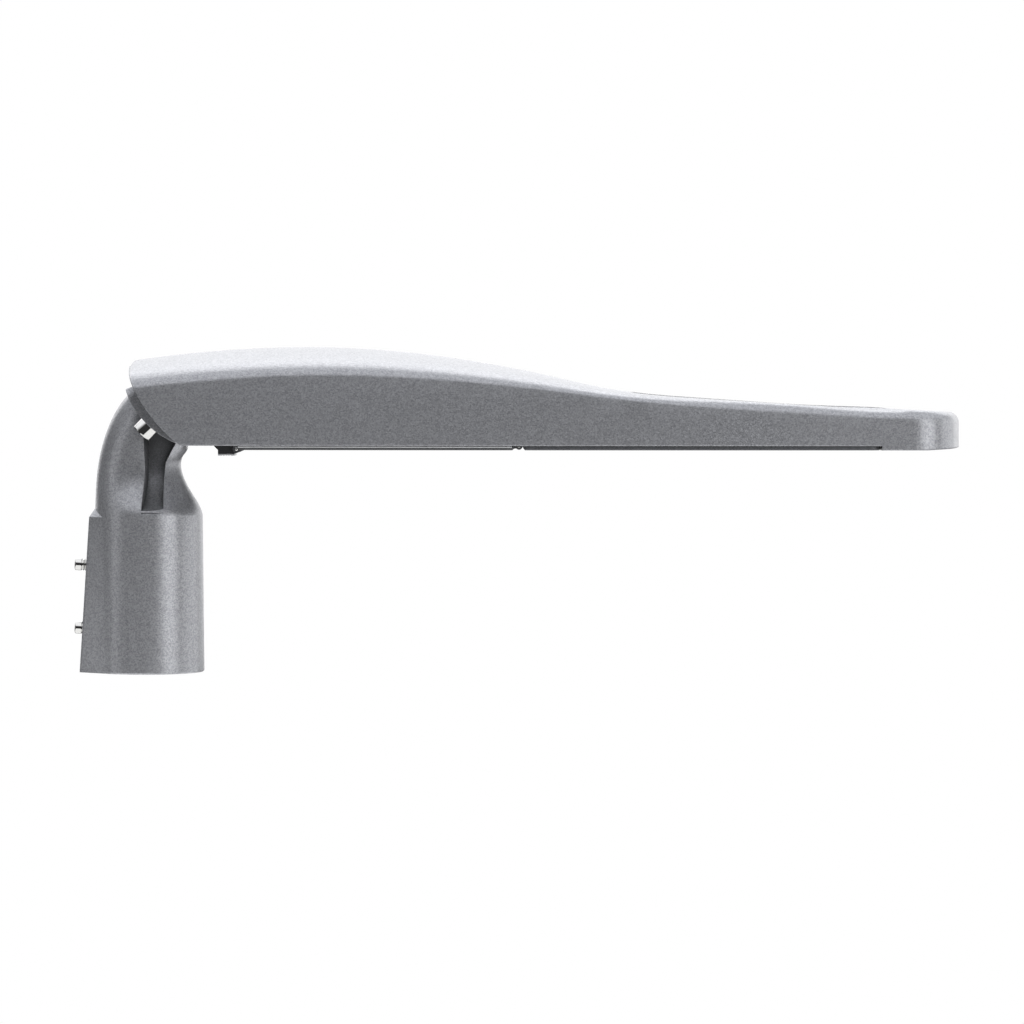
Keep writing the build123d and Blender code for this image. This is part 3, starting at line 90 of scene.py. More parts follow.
@dataclass
class Shell:
    """Surfaces as arrays, in millimetres, before they become one mesh.

    points is (n, 3), quads is (m, 4) and rings holds the outlines of flat ends.
    """

    points: np.ndarray
    quads: np.ndarray
    rings: list[np.ndarray] = field(default_factory=list)

    def placed(self, matrix: np.ndarray) -> "Shell":
        """Returns the shell carried by a 4 x 4 matrix."""
        moved = self.points @ matrix[:3, :3].T + matrix[:3, 3]
        return Shell(moved, self.quads, self.rings)

    def repeated(self, matrices: Sequence[np.ndarray]) -> "Shell":
        """Returns one shell with a copy at each matrix."""
        return joined([self.placed(matrix) for matrix in matrices])


def joined(shells: Sequence[Shell]) -> Shell:
    """Puts several shells into one.

    Args:
        shells: The shells to join, at least one.

    Returns:
        One shell whose point numbers run on from shell to shell.
    """
    starts = np.cumsum([0] + [len(shell.points) for shell in shells[:-1]])
    points = np.vstack([shell.points for shell in shells])
    quads = np.vstack([shell.quads + start for shell, start in zip(shells, starts)])
    rings = [ring + start for shell, start in zip(shells, starts) for ring in shell.rings]
    return Shell(points, quads.astype(int), rings)


def grid_shell(grid: np.ndarray, across: bool = True, along: bool = False, ends: bool = True) -> Shell:
    """Turns a grid of points into a shell of quads.

    Args:
        grid: Points, (rows, columns, 3); a row is one ring of the surface.
        across: Whether a row's last point joins its first.
        along: Whether the last row joins the first.
        ends: Whether the first and last rows are closed by flat ends.

    Returns:
        The shell.
    """
    rows, columns = grid.shape[:2]
    number = np.arange(rows * columns).reshape(rows, columns)
    if across:
        number = np.hstack([number, number[:, :1]])
    if along:
        number = np.vstack([number, number[:1]])
    quads = np.stack([number[:-1, :-1], number[:-1, 1:], number[1:, 1:], number[1:, :-1]], axis=-1)
    rings = []
    if ends and not along:
        rings = [np.arange(columns)[::-1], np.arange(columns) + (rows - 1) * columns]
    return Shell(grid.reshape(-1, 3), quads.reshape(-1, 4), rings)


def placement(origin: Sequence[float], axis: Sequence[float], turn: float = 0.0) -> np.ndarray:
    """Matrix that carries the z axis to a direction at a place.

    Args:
        origin: Where the local origin goes, in millimetres.
        axis: Where the local z axis points.
        turn: Turn about that axis, in radians.

    Returns:
        A 4 x 4 matrix.
    """
    z_axis = np.array(axis, float) / np.linalg.norm(axis)
    side = np.cross((0.0, 1.0, 0.0), z_axis)
    side = side if np.linalg.norm(side) > 1e-6 else np.array([1.0, 0.0, 0.0])
    x_axis = side / np.linalg.norm(side)
    y_axis = np.cross(z_axis, x_axis)
    turned_x = math.cos(turn) * x_axis + math.sin(turn) * y_axis
    matrix = np.eye(4)
    matrix[:3, 0], matrix[:3, 1], matrix[:3, 2] = turned_x, np.cross(z_axis, turned_x), z_axis
    matrix[:3, 3] = origin
    return matrix


def turned(
    profile: Sequence[tuple[float, float]],
    around: int = 48,
    hexagon: Sequence[int] = (),
    ring: bool = False,
    thread: tuple[float, float] = (0.0, 0.0),
    threaded: slice = slice(0, 0),
) -> Shell:
    """Surface of revolution about z, with some rings made hexagons and some cut by a thread.

    A point is (r cos t, r sin t, h), where (r, h) runs along the profile and t once around. On a
    hexagon ring r is scaled by cos 30 / cos(((t + 30) mod 60) - 30), t in degrees. On a threaded
    ring r is less by depth * (1 - cos(360 h / pitch - t)) / 2.

    Args:
        profile: (radius, height) of each ring, in millimetres.
        around: Points in a ring.
        hexagon: Numbers of the rings that are hexagons; their radius is to the corners.
        ring: Whether the profile is a loop, as of a washer, and not open with flat ends.
        thread: (pitch, depth) of the thread.
        threaded: Which rings it cuts.

    Returns:
        The closed surface.
    """
    radius, height = np.array(profile, float).T
    angle = np.arange(around) * TURN / around
    sixth = TURN / 6
    flat = math.cos(sixth / 2) / np.cos(np.mod(angle + sixth / 2, sixth) - sixth / 2)
    reach = np.repeat(radius[:, None], around, axis=1)
    reach[list(hexagon)] *= flat
    rise = np.repeat(height[:, None], around, axis=1)
    pitch, depth = thread
    if pitch:
        reach[threaded] -= depth / 2 * (1 - np.cos(TURN * rise[threaded] / pitch - angle))
    grid = np.stack([reach * np.cos(angle), reach * np.sin(angle), rise], axis=-1)
    return grid_shell(grid, along=ring)


def rounded_ring(length: float, width: float, corner: float, per_corner: int = 6) -> np.ndarray:
    """Outline of a rounded rectangle about the origin.

    Each corner is a quarter circle of the corner radius about a point that far in from both sides.

    Args:
        length: Size along x.
        width: Size along y.
        corner: Corner radius.
        per_corner: Points in each corner.

    Returns:
        Points, (4 * per_corner, 2).
    """
    angle = (np.arange(4)[:, None] * 90 + np.linspace(0, 90, per_corner)) * math.pi / 180
    sign_x = np.array([1, -1, -1, 1])[:, None]
    sign_y = np.array([1, 1, -1, -1])[:, None]
    x = sign_x * (length / 2 - corner) + corner * np.cos(angle)
    y = sign_y * (width / 2 - corner) + corner * np.sin(angle)
    return np.stack([x.ravel(), y.ravel()], axis=-1)


def prism(outline: np.ndarray, levels: Sequence[tuple[float, float]]) -> Shell:
    """Outline carried up z: each level is (inset, height), and its ring is the outline drawn in.

    A ring's point is middle + (point - middle) * (half - inset) / half, along each of x and y.

    Args:
        outline: Points, (n, 2).
        levels: (inset, height) of each ring, in millimetres, from one end to the other.

    Returns:
        The closed surface.
    """
    low, high = outline.min(axis=0), outline.max(axis=0)
    middle, half = (low + high) / 2, (high - low) / 2
    rings = []
    for inset, height in levels:
        ring = middle + (outline - middle) * (half - inset) / half
        rings.append(np.column_stack([ring, np.full(len(ring), height)]))
    return grid_shell(np.stack(rings))


def stacked(length: float, width: float, corner: float, levels: Sequence[tuple[float, float]]) -> Shell:
    """Rounded box about the z axis, as a prism of a rounded rectangle."""
    return prism(rounded_ring(length, width, corner), levels)


def blunt(bottom: float, top: float, edge: float) -> list[tuple[float, float]]:
    """Levels of a prism whose two ends are rounded off in three steps each.

    Args:
        bottom: Height of the lower end.
        top: Height of the upper end.
        edge: Width of the rounding.

    Returns:
        (inset, height) of each ring, for prism.
    """
    steps = ((0.0, 1.0), (0.3, 0.3), (1.0, 0.0))
    lower = [(edge * inset, bottom + edge * rise) for rise, inset in steps]
    upper = [(edge * inset, top - edge * rise) for rise, inset in reversed(steps)]
    return lower + upper


def swept(path: np.ndarray, profile: np.ndarray, up: Sequence[float], closed: bool = False) -> Shell:
    """Profile carried along a path.

    A point is path(s) + a * side(s) + b * top(s): top is the up direction made square to the path's
    tangent, side is tangent x top, and (a, b) runs round the profile.

    Args:
        path: Points, (n, 3).
        profile: Outline, (m, 2).
        up: Direction that the path is never parallel to.
        closed: Whether the path is a loop.

    Returns:
        The shell.
    """
    if closed:
        tangent = np.roll(path, -1, axis=0) - np.roll(path, 1, axis=0)
    else:
        tangent = np.gradient(path, axis=0)
    tangent = tangent / np.linalg.norm(tangent, axis=1, keepdims=True)
    side = np.cross(tangent, np.array(up, float))
    side = side / np.linalg.norm(side, axis=1, keepdims=True)
    top = np.cross(side, tangent)
    sideways = profile[None, :, :1] * side[:, None, :]
    upwards = profile[None, :, 1:] * top[:, None, :]
    return grid_shell(path[:, None, :] + sideways + upwards, along=closed)


def circle(radius: float, around: int = 14) -> np.ndarray:
    """Points of a circle about the origin: radius * (cos t, sin t)."""
    angle = np.arange(around) * TURN / around
    return radius * np.stack([np.cos(angle), np.sin(angle)], axis=-1)


def piece(
    name: str,
    shell: Shell,
    body: Body,
    finish: "Finish",
    replaces: Sequence[str] = (),
    split: float = 32.0,
) -> bpy.types.Object:
    """Makes a shell into a finished piece that rides on a body.

    Args:
        name: Name of the piece.
        shell: Its surfaces, in millimetres.
        body: The body that it moves with.
        finish: Its material.
        replaces: CAD nodes that it stands for.
        split: Angle in degrees above which an edge stays sharp.

    Returns:
        The new object.
    """
    mesh = bpy.data.meshes.new(name)
    faces = shell.quads.tolist() + [ring.tolist() for ring in shell.rings]
    mesh.from_pydata((shell.points * MM).tolist(), [], faces)
    tidy = bmesh.new()
    tidy.from_mesh(mesh)
    bmesh.ops.recalc_face_normals(tidy, faces=tidy.faces)
    tidy.to_mesh(mesh)
    tidy.free()
    mesh.polygons.foreach_set("use_smooth", np.ones(len(mesh.polygons), bool))
    made = bpy.data.objects.new(name, mesh)
    bpy.context.scene.collection.objects.link(made)
    crisp(made, split)
    finish.put_on(made)
    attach(made, body.value)
    if replaces:
        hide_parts(*replaces)
    log.info("%s: %d faces", name, len(mesh.polygons))
    return made


def box_mm(node: str) -> tuple[np.ndarray, np.ndarray]:
    """Lowest and highest corner of a CAD node, in millimetres."""
    low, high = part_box(node)
    return np.array(low) / MM, np.array(high) / MM


def crisp(made: bpy.types.Object, degrees: float) -> None:
    """Splits edges that turn by more than an angle, so that the rest can shade smoothly."""
    split = made.modifiers.new("crisp", "EDGE_SPLIT")
    split.split_angle = math.radians(degrees)


# Finishes


def linear(hex_colour: str) -> tuple[float, float, float, float]:
    """Turns an sRGB hex colour to linear values.

    A share c of full scale becomes c / 12.92 up to 0.04045, and ((c + 0.055) / 1.055)^2.4 above.

    Args:
        hex_colour: The colour, as #rrggbb.

    Returns:
        Red, green and blue from 0 to 1, and an alpha of one.
    """
    parts = [int(hex_colour[i : i + 2], 16) / 255 for i in (1, 3, 5)]
    red, green, blue = [c / 12.92 if c <= 0.04045 else ((c + 0.055) / 1.055) ** 2.4 for c in parts]
    return red, green, blue, 1.0


def add_node(
    tree: bpy.types.NodeTree, kind: str, attributes: dict, values: dict, links: dict
) -> bpy.types.Node:
    """Adds a node.

    Args:
        tree: The node tree.
        kind: The node's type.
        attributes: Attributes to set on it.
        values: Input name or number to its value.
        links: Input name or number to the output socket that feeds it.

    Returns:
        The node.
    """
    node = tree.nodes.new(kind)
    for key, value in attributes.items():
        setattr(node, key, value)
    for key, value in values.items():
        node.inputs[key].default_value = value
    for key, source in links.items():
        tree.links.new(source, node.inputs[key])
    return node


@dataclass(frozen=True)
class Finish:
    """A material: its typical values, and a pattern that a subclass may change.

    grain is the size of the surface's pattern in millimetres and depth how far it stands up. slot is
    the name that the record gives this material.
    """

    name: str
    colour: str
    second: str
    metallic: float = 0.0
    roughness: float = 0.5
    ior: float = 1.5
    grain: float = 1.0
    depth: float = 0.0
    coat: float = 0.0
    transmission: float = 0.0
    slot: str = ""

    def material(self) -> bpy.types.Material:
        """Returns the material, built on first use."""
        found = bpy.data.materials.get(self.name)
        if found:
            return found
        made = bpy.data.materials.new(self.name)
        made.use_nodes = True
        tree = made.node_tree
        shader = next(node for node in tree.nodes if node.type == "BSDF_PRINCIPLED")
        shader.inputs["Base Color"].default_value = linear(self.colour)
        shader.inputs["Metallic"].default_value = self.metallic
        shader.inputs["Roughness"].default_value = self.roughness
        if self.metallic < 1.0:
            shader.inputs["IOR"].default_value = self.ior
        shader.inputs["Coat Weight"].default_value = self.coat
        shader.inputs["Transmission Weight"].default_value = self.transmission
        place = add_node(tree, "ShaderNodeTexCoord", {}, {}, {}).outputs["Object"]
        self.dress(tree, shader, place)
        return made

    def dress(self, tree: bpy.types.NodeTree, shader: bpy.types.Node, place: bpy.types.NodeSocket) -> None:
        """Adds a fine mottle of the second colour and a matching bump.

        Args:
            tree: The material's nodes.
            shader: The shader that takes the pattern.
            place: The object's own coordinates.
        """
        scale = 1 / (self.grain * MM)
        noise = add_node(tree, "ShaderNodeTexNoise", {}, {"Scale": scale, "Detail": 3.0}, {"Vector": place})
        self.tint(tree, shader, noise.outputs["Fac"])
        self.rough(tree, shader, noise.outputs["Fac"], 0.06)
        self.bump(tree, shader, noise.outputs["Fac"])

    def tint(
        self, tree: bpy.types.NodeTree, shader: bpy.types.Node, amount: bpy.types.NodeSocket
    ) -> bpy.types.NodeSocket:
        """Mixes the first colour with the second by an amount.

        Args:
            tree: The material's nodes.
            shader: The shader that takes the colour.
            amount: Share of the second colour.

        Returns:
            The mixed colour's socket.
        """
        mix = add_node(
            tree,
            "ShaderNodeMix",
            {"data_type": "RGBA"},
            {"A": linear(self.colour), "B": linear(self.second)},
            {"Factor": amount},
        )
        tree.links.new(mix.outputs["Result"], shader.inputs["Base Color"])
        return mix.outputs["Result"]

    def rough(
        self, tree: bpy.types.NodeTree, shader: bpy.types.Node, amount: bpy.types.NodeSocket, spread: float
    ) -> None:
        """Lets the roughness wander.

        Args:
            tree: The material's nodes.
            shader: The shader that takes the roughness.
            amount: The pattern that it follows.
            spread: How far it goes either way.
        """
        limits = {"To Min": self.roughness - spread, "To Max": self.roughness + spread}
        level = add_node(tree, "ShaderNodeMapRange", {}, limits, {"Value": amount})
        tree.links.new(level.outputs["Result"], shader.inputs["Roughness"])

    def bump(self, tree: bpy.types.NodeTree, shader: bpy.types.Node, height: bpy.types.NodeSocket) -> None:
        """Raises the surface by the finish's depth.

        Args:
            tree: The material's nodes.
            shader: The shader that takes the normals.
            height: The pattern that it follows.
        """
        if self.depth:
            raised = add_node(tree, "ShaderNodeBump", {}, {"Distance": self.depth * MM}, {"Height": height})
            tree.links.new(raised.outputs["Normal"], shader.inputs["Normal"])

    def put_on(self, made: bpy.types.Object) -> None:
        """Gives an object this material.

        Args:
            made: The object.
        """
        made.data.materials.clear()
        made.data.materials.append(self.material())


@dataclass(frozen=True)
class PowderCoat(Finish):
    """Metallic polyester powder baked on die-cast aluminium: flakes sparkle in a fine orange peel.

    flake is the width of a fleck, reach how near other surfaces make a recess, and edge the radius
    that the melted powder gives to sharp edges, in millimetres. The recess colour is painted shade:
    it is full where no more than shut_share of the air near by is free, and gone from open_share on.
    """

    flake: float = 0.9
    reach: float = 34.0
    # Colour of the painted shade laid into recesses
    recess_shade_colour: str = "#4c4d4f"
    edge: float = 0.9
    shut_share: float = 0.35
    open_share: float = 0.8

    def dress(self, tree: bpy.types.NodeTree, shader: bpy.types.Node, place: bpy.types.NodeSocket) -> None:
        """Adds flakes, drawn nearly a millimetre wide so that they show, over an orange peel bump.

        Args:
            tree: The material's nodes.
            shader: The shader that takes the pattern.
            place: The object's own coordinates.
        """
        cells = add_node(
            tree, "ShaderNodeTexVoronoi", {"feature": "F1"}, {"Scale": 1 / (self.flake * MM)},
            {"Vector": place},
        )
        sparkle = add_node(tree, "ShaderNodeSeparateColor", {}, {}, {"Color": cells.outputs["Color"]})
        cloud = add_node(
            tree, "ShaderNodeTexNoise", {},
            {"Scale": 1 / (self.grain * MM), "Detail": 4.0, "Roughness": 0.6},
            {"Vector": place},
        )
        both = add_node(
            tree, "ShaderNodeMix", {"data_type": "FLOAT"}, {"Factor": 0.35},
            {"A": sparkle.outputs["Red"], "B": cloud.outputs["Fac"]},
        )
        flecked = self.tint(tree, shader, both.outputs["Result"])
        # Painted shade: the coat's colour darkens in recesses
        self.paint_recess_shade(tree, shader, flecked)
        self.rough(tree, shader, sparkle.outputs["Green"], 0.07)
        soft = add_node(tree, "ShaderNodeBevel", {"samples": 6}, {"Radius": self.edge * MM}, {})
        raised = add_node(
            tree, "ShaderNodeBump", {}, {"Distance": self.depth * MM},
            {"Height": cloud.outputs["Fac"], "Normal": soft.outputs["Normal"]},
        )
        tree.links.new(raised.outputs["Normal"], shader.inputs["Normal"])

    def paint_recess_shade(self, tree: bpy.types.NodeTree, shader: bpy.types.Node, clean: bpy.types.NodeSocket) -> None:
        """Paints shade into the coat's colour in recesses, darkest where little of the air near by is free.

        Args:
            tree: The material's nodes.
            shader: The shader that takes the colour.
            clean: The coat's own colour.
        """
        # Painted shade: how enclosed a point is sets how far its colour darkens, standing in for shade
        open_air = add_node(
            tree, "ShaderNodeAmbientOcclusion", {"samples": 8}, {"Distance": self.reach * MM}, {}
        )
        share = add_node(
            tree, "ShaderNodeMapRange", {},
            {"From Min": self.shut_share, "From Max": self.open_share, "To Min": 0.0, "To Max": 1.0},
            {"Value": open_air.outputs["AO"]},
        )
        mix = add_node(
            tree, "ShaderNodeMix", {"data_type": "RGBA"}, {"A": linear(self.recess_shade_colour)},
            {"Factor": share.outputs["Result"], "B": clean},
        )
        tree.links.new(mix.outputs["Result"], shader.inputs["Base Color"])


@dataclass(frozen=True)
class TurnedMetal(Finish):
    """Bright metal, turned, drawn or stamped: nearly a mirror, with the faint wear of handling."""

    def dress(self, tree: bpy.types.NodeTree, shader: bpy.types.Node, place: bpy.types.NodeSocket) -> None:
        """Adds a swirled wear in colour, roughness and height.

        Args:
            tree: The material's nodes.
            shader: The shader that takes the pattern.
            place: The object's own coordinates.
        """
        wear = add_node(
            tree, "ShaderNodeTexNoise", {},
            {"Scale": 1 / (self.grain * MM), "Detail": 5.0, "Distortion": 0.4},
            {"Vector": place},
        )
        self.tint(tree, shader, wear.outputs["Fac"])
        self.rough(tree, shader, wear.outputs["Fac"], 0.05)
        self.bump(tree, shader, wear.outputs["Fac"])


@dataclass(frozen=True)
class RolledSheet(Finish):
    """Cold-rolled sheet as it leaves the mill: faint lines along the rolling direction, x."""

    def dress(self, tree: bpy.types.NodeTree, shader: bpy.types.Node, place: bpy.types.NodeSocket) -> None:
        """Adds lines drawn out sixty to one along x.

        Args:
            tree: The material's nodes.
            shader: The shader that takes the pattern.
            place: The object's own coordinates.
        """
        stretched = add_node(
            tree, "ShaderNodeMapping", {}, {"Scale": (0.016, 1.0, 1.0)}, {"Vector": place}
        )
        lines = add_node(
            tree, "ShaderNodeTexNoise", {}, {"Scale": 1 / (self.grain * MM), "Detail": 4.0},
            {"Vector": stretched.outputs["Vector"]},
        )
        self.tint(tree, shader, lines.outputs["Fac"])
        self.rough(tree, shader, lines.outputs["Fac"], 0.1)
        self.bump(tree, shader, lines.outputs["Fac"])


# Die-cast aluminium under silver powder coat: grey flake sparkle, satin, soft highlights
HOUSING_COAT = PowderCoat(
    "die_cast_silver_powder_coat", "#7e7f83", "#b0b1b5", slot="cast_housing",
    metallic=0.65, roughness=0.37, grain=1.1, depth=0.06, edge=1.8,
)
ADAPTER_COAT = PowderCoat(
    "die_cast_adapter_powder_coat", "#7e7f83", "#b2b3b7", slot="cast_adapter",
    metallic=0.65, roughness=0.36, grain=1.1, depth=0.06,
)
# The same under dark grey powder: matt, with little sparkle. The door's graphite is painted shade, for the
# shade in the gap under the rim
DOOR_SHADE_COAT = PowderCoat(
    "die_cast_door_shade_coat", "#2b2c2e", "#3c3d40", slot="cast_housing",
    metallic=0.3, roughness=0.5, grain=1.4, depth=0.05,
)
FRAME_COAT = PowderCoat(
    "die_cast_frame_powder_coat", "#3e3f42", "#545558", slot="cast_housing",
    metallic=0.4, roughness=0.48, grain=1.4, depth=0.05,
)
# Austenitic stainless steel, turned and polished: mirror bright with a slight warm cast
STAINLESS = TurnedMetal(
    "polished_stainless_steel", "#c9c8c6", "#dededc", slot="bright_screws",
    metallic=1.0, roughness=0.1, grain=0.6, depth=0.003,
)
# Stainless wire, drawn: dull sheen
PIN_STEEL = TurnedMetal(
    "drawn_stainless_pin", "#a8a8a7", "#c2c2c0", slot="steel_pins",
    metallic=1.0, roughness=0.28, grain=0.4, depth=0.004,
)
# Brass, stamped and bright: warm, slightly dulled
BRASS = TurnedMetal(
    "stamped_brass", "#c8a865", "#d9c084", slot="brass_blades",
    metallic=1.0, roughness=0.25, grain=0.5, depth=0.004,
)
# Aluminium sheet, cold rolled: dull, with lines along the sheet
MILL_SHEET = RolledSheet(
    "rolled_aluminium_sheet", "#b4b6b9", "#cfd1d3", slot="zinc_sheet",
    metallic=1.0, roughness=0.34, grain=0.9, depth=0.006,
)
# Aluminium strip, brushed along its length and clear anodised: bright satin, laid on the door's edge as a
# painted highlight
DOOR_HIGHLIGHT_METAL = RolledSheet(
    "door_highlight_aluminium_strip", "#b4b5b7", "#c4c5c7", slot="latch_grey",
    metallic=1.0, roughness=0.32, grain=0.5, depth=0.004,
)
# Extruded aluminium under white-grey enamel: even, half matt
DRIVER_ENAMEL = Finish(
    "driver_case_enamel", "#d6d8d9", "#c9cbcd", slot="driver_case",
    roughness=0.42, grain=0.7, depth=0.02,
)
# Glass-filled nylon, injection moulded: a fine spark-eroded grain
BLACK_NYLON = Finish(
    "moulded_black_nylon", "#161617", "#1f1f21", slot="black_nylon",
    roughness=0.55, grain=0.6, depth=0.03,
)
GREY_NYLON = Finish(
    "moulded_grey_nylon", "#6d6e70", "#7b7c7e", slot="grey_nylon",
    roughness=0.5, grain=0.6, depth=0.03,
)
WHITE_NYLON = Finish(
    "moulded_white_nylon", "#dedcd6", "#d2d0c9", slot="white_nylon",
    roughness=0.45, grain=0.8, depth=0.02,
)
# Nylon under silver grey lacquer: a smooth pearly sheen
LATCH_LACQUER = Finish(
    "latch_silver_lacquer", "#c3c4c6", "#b2b3b5", slot="latch_grey",
    metallic=0.5, roughness=0.35, grain=0.8, depth=0.01,
)
# EPDM rubber, moulded: matt and black
EPDM = Finish(
    "moulded_epdm_rubber", "#151515", "#1e1e1e", slot="black_rubber",
    roughness=0.78, grain=1.2, depth=0.03,
)
# Silicone rubber, extruded: dark grey with a soft sheen
SILICONE = Finish(
    "extruded_silicone_seal", "#2c2d2f", "#3a3b3d", slot="seal_silicone",
    roughness=0.6, grain=0.9, depth=0.02,
)
# Solder resist over copper on an aluminium core board: white, faintly glossy
SOLDER_RESIST = Finish(
    "white_solder_resist", "#eceae4", "#dcdad3", slot="board_white",
    roughness=0.38, grain=2.5, depth=0.01,
)
# Ceramic phosphor: egg yellow when unlit
PHOSPHOR = Finish(
    "led_phosphor", "#e8c02e", "#f0d055", slot="led_phosphor",
    roughness=0.4, grain=0.5, depth=0.01,
)
# Aluminium nitride ceramic of the LED cases: dense white
LED_CERAMIC = Finish(
    "led_case_ceramic", "#e9e7e0", "#f3f1ea", slot="board_white",
    roughness=0.5, grain=0.4, depth=0.005,
)
# PMMA, injection moulded: clear lenses
ACRYLIC = Finish(
    "moulded_clear_acrylic", "#f7f9fa", "#ffffff", slot="lens_acrylic",
    roughness=0.04, ior=1.49, grain=4.0, transmission=1.0,
)
# Soda-lime glass, toughened and flat: clear with a trace of green
FLAT_GLASS = Finish(
    "toughened_flat_glass", "#eef6f3", "#ffffff", slot="flat_glass",
    roughness=0.02, ior=1.52, grain=30.0, transmission=1.0,
)
# Polycarbonate, tinted green, over the arrester's flag: glossy
STATUS_GREEN = Finish(
    "tinted_green_polycarbonate", "#1f8a3c", "#2da04c", slot="black_nylon",
    roughness=0.2, ior=1.58, grain=0.8, depth=0.01,
)
# PVC wire insulation, extruded: black, brown and blue, smooth with a soft sheen
LEAD_PVC = Finish(
    "extruded_pvc_insulation", "#1b1b1c", "#262627", slot="lead_insulation",
    roughness=0.45, grain=1.0, depth=0.01,
)
LEAD_BROWN = Finish(
    "brown_pvc_insulation", "#4a2a18", "#56331f", slot="lead_insulation",
    roughness=0.42, grain=1.0, depth=0.01,
)
LEAD_BLUE = Finish(
    "blue_pvc_insulation", "#1d4f9a", "#2a5ca8", slot="lead_insulation",
    roughness=0.42, grain=1.0, depth=0.01,
)


# Studio


@dataclass
class Studio:
    """Floor, backdrop, lamps and the camera at the photograph's viewing angle.

    The camera looks along +Y, level, from 3.3 m, with its view shifted down and to the right.
    Sizes are in metres. The air's own light has the strength light_below up to the height dark_to of
    a direction's unit vector, light_above from bright_from on, and rises smoothly between them.
    """

    distance: float = 3.3
    view_x: float = 0.2545
    view_z: float = 0.2239
    frame_width: float = 0.7875
    shift_x: float = 0.0312
    shift_y: float = -0.1289
    sensor: float = 36.0
    view_end: float = 60.0
    floor_z: float = -0.34
    floor_radius: float = 9.0
    dome_radius: float = 20.0
    light_above: float = 1.35
    light_below: float = 0.04
    dark_to: float = 0.28
    bright_from: float = 0.58

    def build(self) -> None:
        """Makes everything of the studio."""
        self.camera()
        self.world()
        self.white("studio_floor", self.floor_grid(), lights_object=True)
        self.white("studio_backdrop", self.dome_grid(), lights_object=False)
        above_floor = (0.25, -0.2, self.floor_z + 0.01)
        self.lamp("lamp_behind", (0.3, 2.2, 1.15), (0.3, 0.0, 0.2), (4.5, 2.9), radiance=1.5)
        self.lamp("lamp_front_right", (2.0, -1.8, 0.35), (0.1, 0.0, 0.15), (1.6, 1.4), radiance=2.3)
        self.lamp("lamp_side_right", (2.6, 0.7, 0.35), (0.1, 0.0, 0.15), (2.6, 1.4), radiance=1.4)
        self.lamp("lamp_left", (-2.5, -0.8, 0.35), (0.0, 0.0, 0.15), (0.9, 1.4), radiance=0.8)
        self.lamp("lamp_under", above_floor, (0.25, -0.2, 0.2), (1.7, 1.4), radiance=1.2)

    def camera(self) -> None:
        """Makes the camera: focal length = distance * sensor / width of the frame."""
        data = bpy.data.cameras.new("camera")
        data.sensor_width = self.sensor
        data.lens = self.distance * self.sensor / self.frame_width
        data.shift_x, data.shift_y = self.shift_x, self.shift_y
        data.clip_end = self.view_end
        made = bpy.data.objects.new("camera", data)
        made.location = (self.view_x, -self.distance, self.view_z)
        made.rotation_euler = (math.radians(90), 0.0, 0.0)
        bpy.context.scene.collection.objects.link(made)
        bpy.context.scene.camera = made

    def world(self) -> None:
        """Soft light from above and a dark room round about, by the height of the direction."""
        scene = bpy.context.scene
        scene.world = bpy.data.worlds.new("studio_air")
        scene.world.use_nodes = True
        tree = scene.world.node_tree
        air = next(node for node in tree.nodes if node.type == "BACKGROUND")
        air.inputs["Color"].default_value = linear("#fbfcff")
        direction = add_node(tree, "ShaderNodeTexCoord", {}, {}, {}).outputs["Generated"]
        parts = add_node(tree, "ShaderNodeSeparateXYZ", {}, {}, {"Vector": direction})
        rising = add_node(
            tree, "ShaderNodeMapRange", {"interpolation_type": "SMOOTHSTEP"},
            {
                "From Min": self.dark_to,
                "From Max": self.bright_from,
                "To Min": self.light_below,
                "To Max": self.light_above,
            },
            {"Value": parts.outputs["Z"]},
        )
        tree.links.new(rising.outputs["Result"], air.inputs["Strength"])
        scene.view_settings.view_transform = "Standard"

    def floor_grid(self) -> np.ndarray:
        """Pale round floor: rings of points (r cos t, r sin t, floor_z).

        Returns:
            Points in metres, (rings, around, 3).
        """
        rings, around = 12, 96
        radius = np.linspace(self.floor_radius, 0.01, rings)[:, None]
        angle = np.arange(around) * TURN / around
        rise = np.full((rings, around), self.floor_z)
        return np.stack([radius * np.cos(angle), radius * np.sin(angle), rise], axis=-1)

    def dome_grid(self) -> np.ndarray:
        """White ball all round: rings of points r (cos e cos t, cos e sin t, sin e).

        Returns:
            Points in metres, (rings, around, 3).
        """
        rings, around = 24, 64
        rise = np.linspace(89.0, -89.0, rings)[:, None] * math.pi / 180
        angle = np.arange(around) * TURN / around
        return self.dome_radius * np.stack(
            [np.cos(rise) * np.cos(angle), np.cos(rise) * np.sin(angle), np.sin(rise) + 0 * angle], axis=-1
        )

    def white(self, name: str, grid: np.ndarray, lights_object: bool) -> None:
        """Makes a plain white surface of the studio, clear from its back, which no reflection shows.

        Args:
            name: Name of the surface.
            grid: Its points, in metres.
            lights_object: Whether its white falls on the object's matt surfaces.
        """
        made = self.set_piece(name, grid)
        paper = bpy.data.materials.new(name + "_paper")
        paper.use_nodes = True
        tree = paper.node_tree
        full = {"Color": (1.0, 1.0, 1.0, 1.0), "Strength": 1.0}
        glow = add_node(tree, "ShaderNodeEmission", {}, full, {})
        clear = add_node(tree, "ShaderNodeBsdfTransparent", {}, {}, {})
        side = add_node(tree, "ShaderNodeNewGeometry", {}, {}, {}).outputs["Backfacing"]
        sheet = add_node(
            tree, "ShaderNodeMixShader", {}, {},
            {0: side, 1: glow.outputs["Emission"], 2: clear.outputs["BSDF"]},
        )
        output = next(node for node in tree.nodes if node.type == "OUTPUT_MATERIAL")
        tree.links.new(sheet.outputs["Shader"], output.inputs["Surface"])
        made.data.materials.append(paper)
        made.visible_diffuse = lights_object
        made.visible_glossy = False
        made.visible_shadow = False

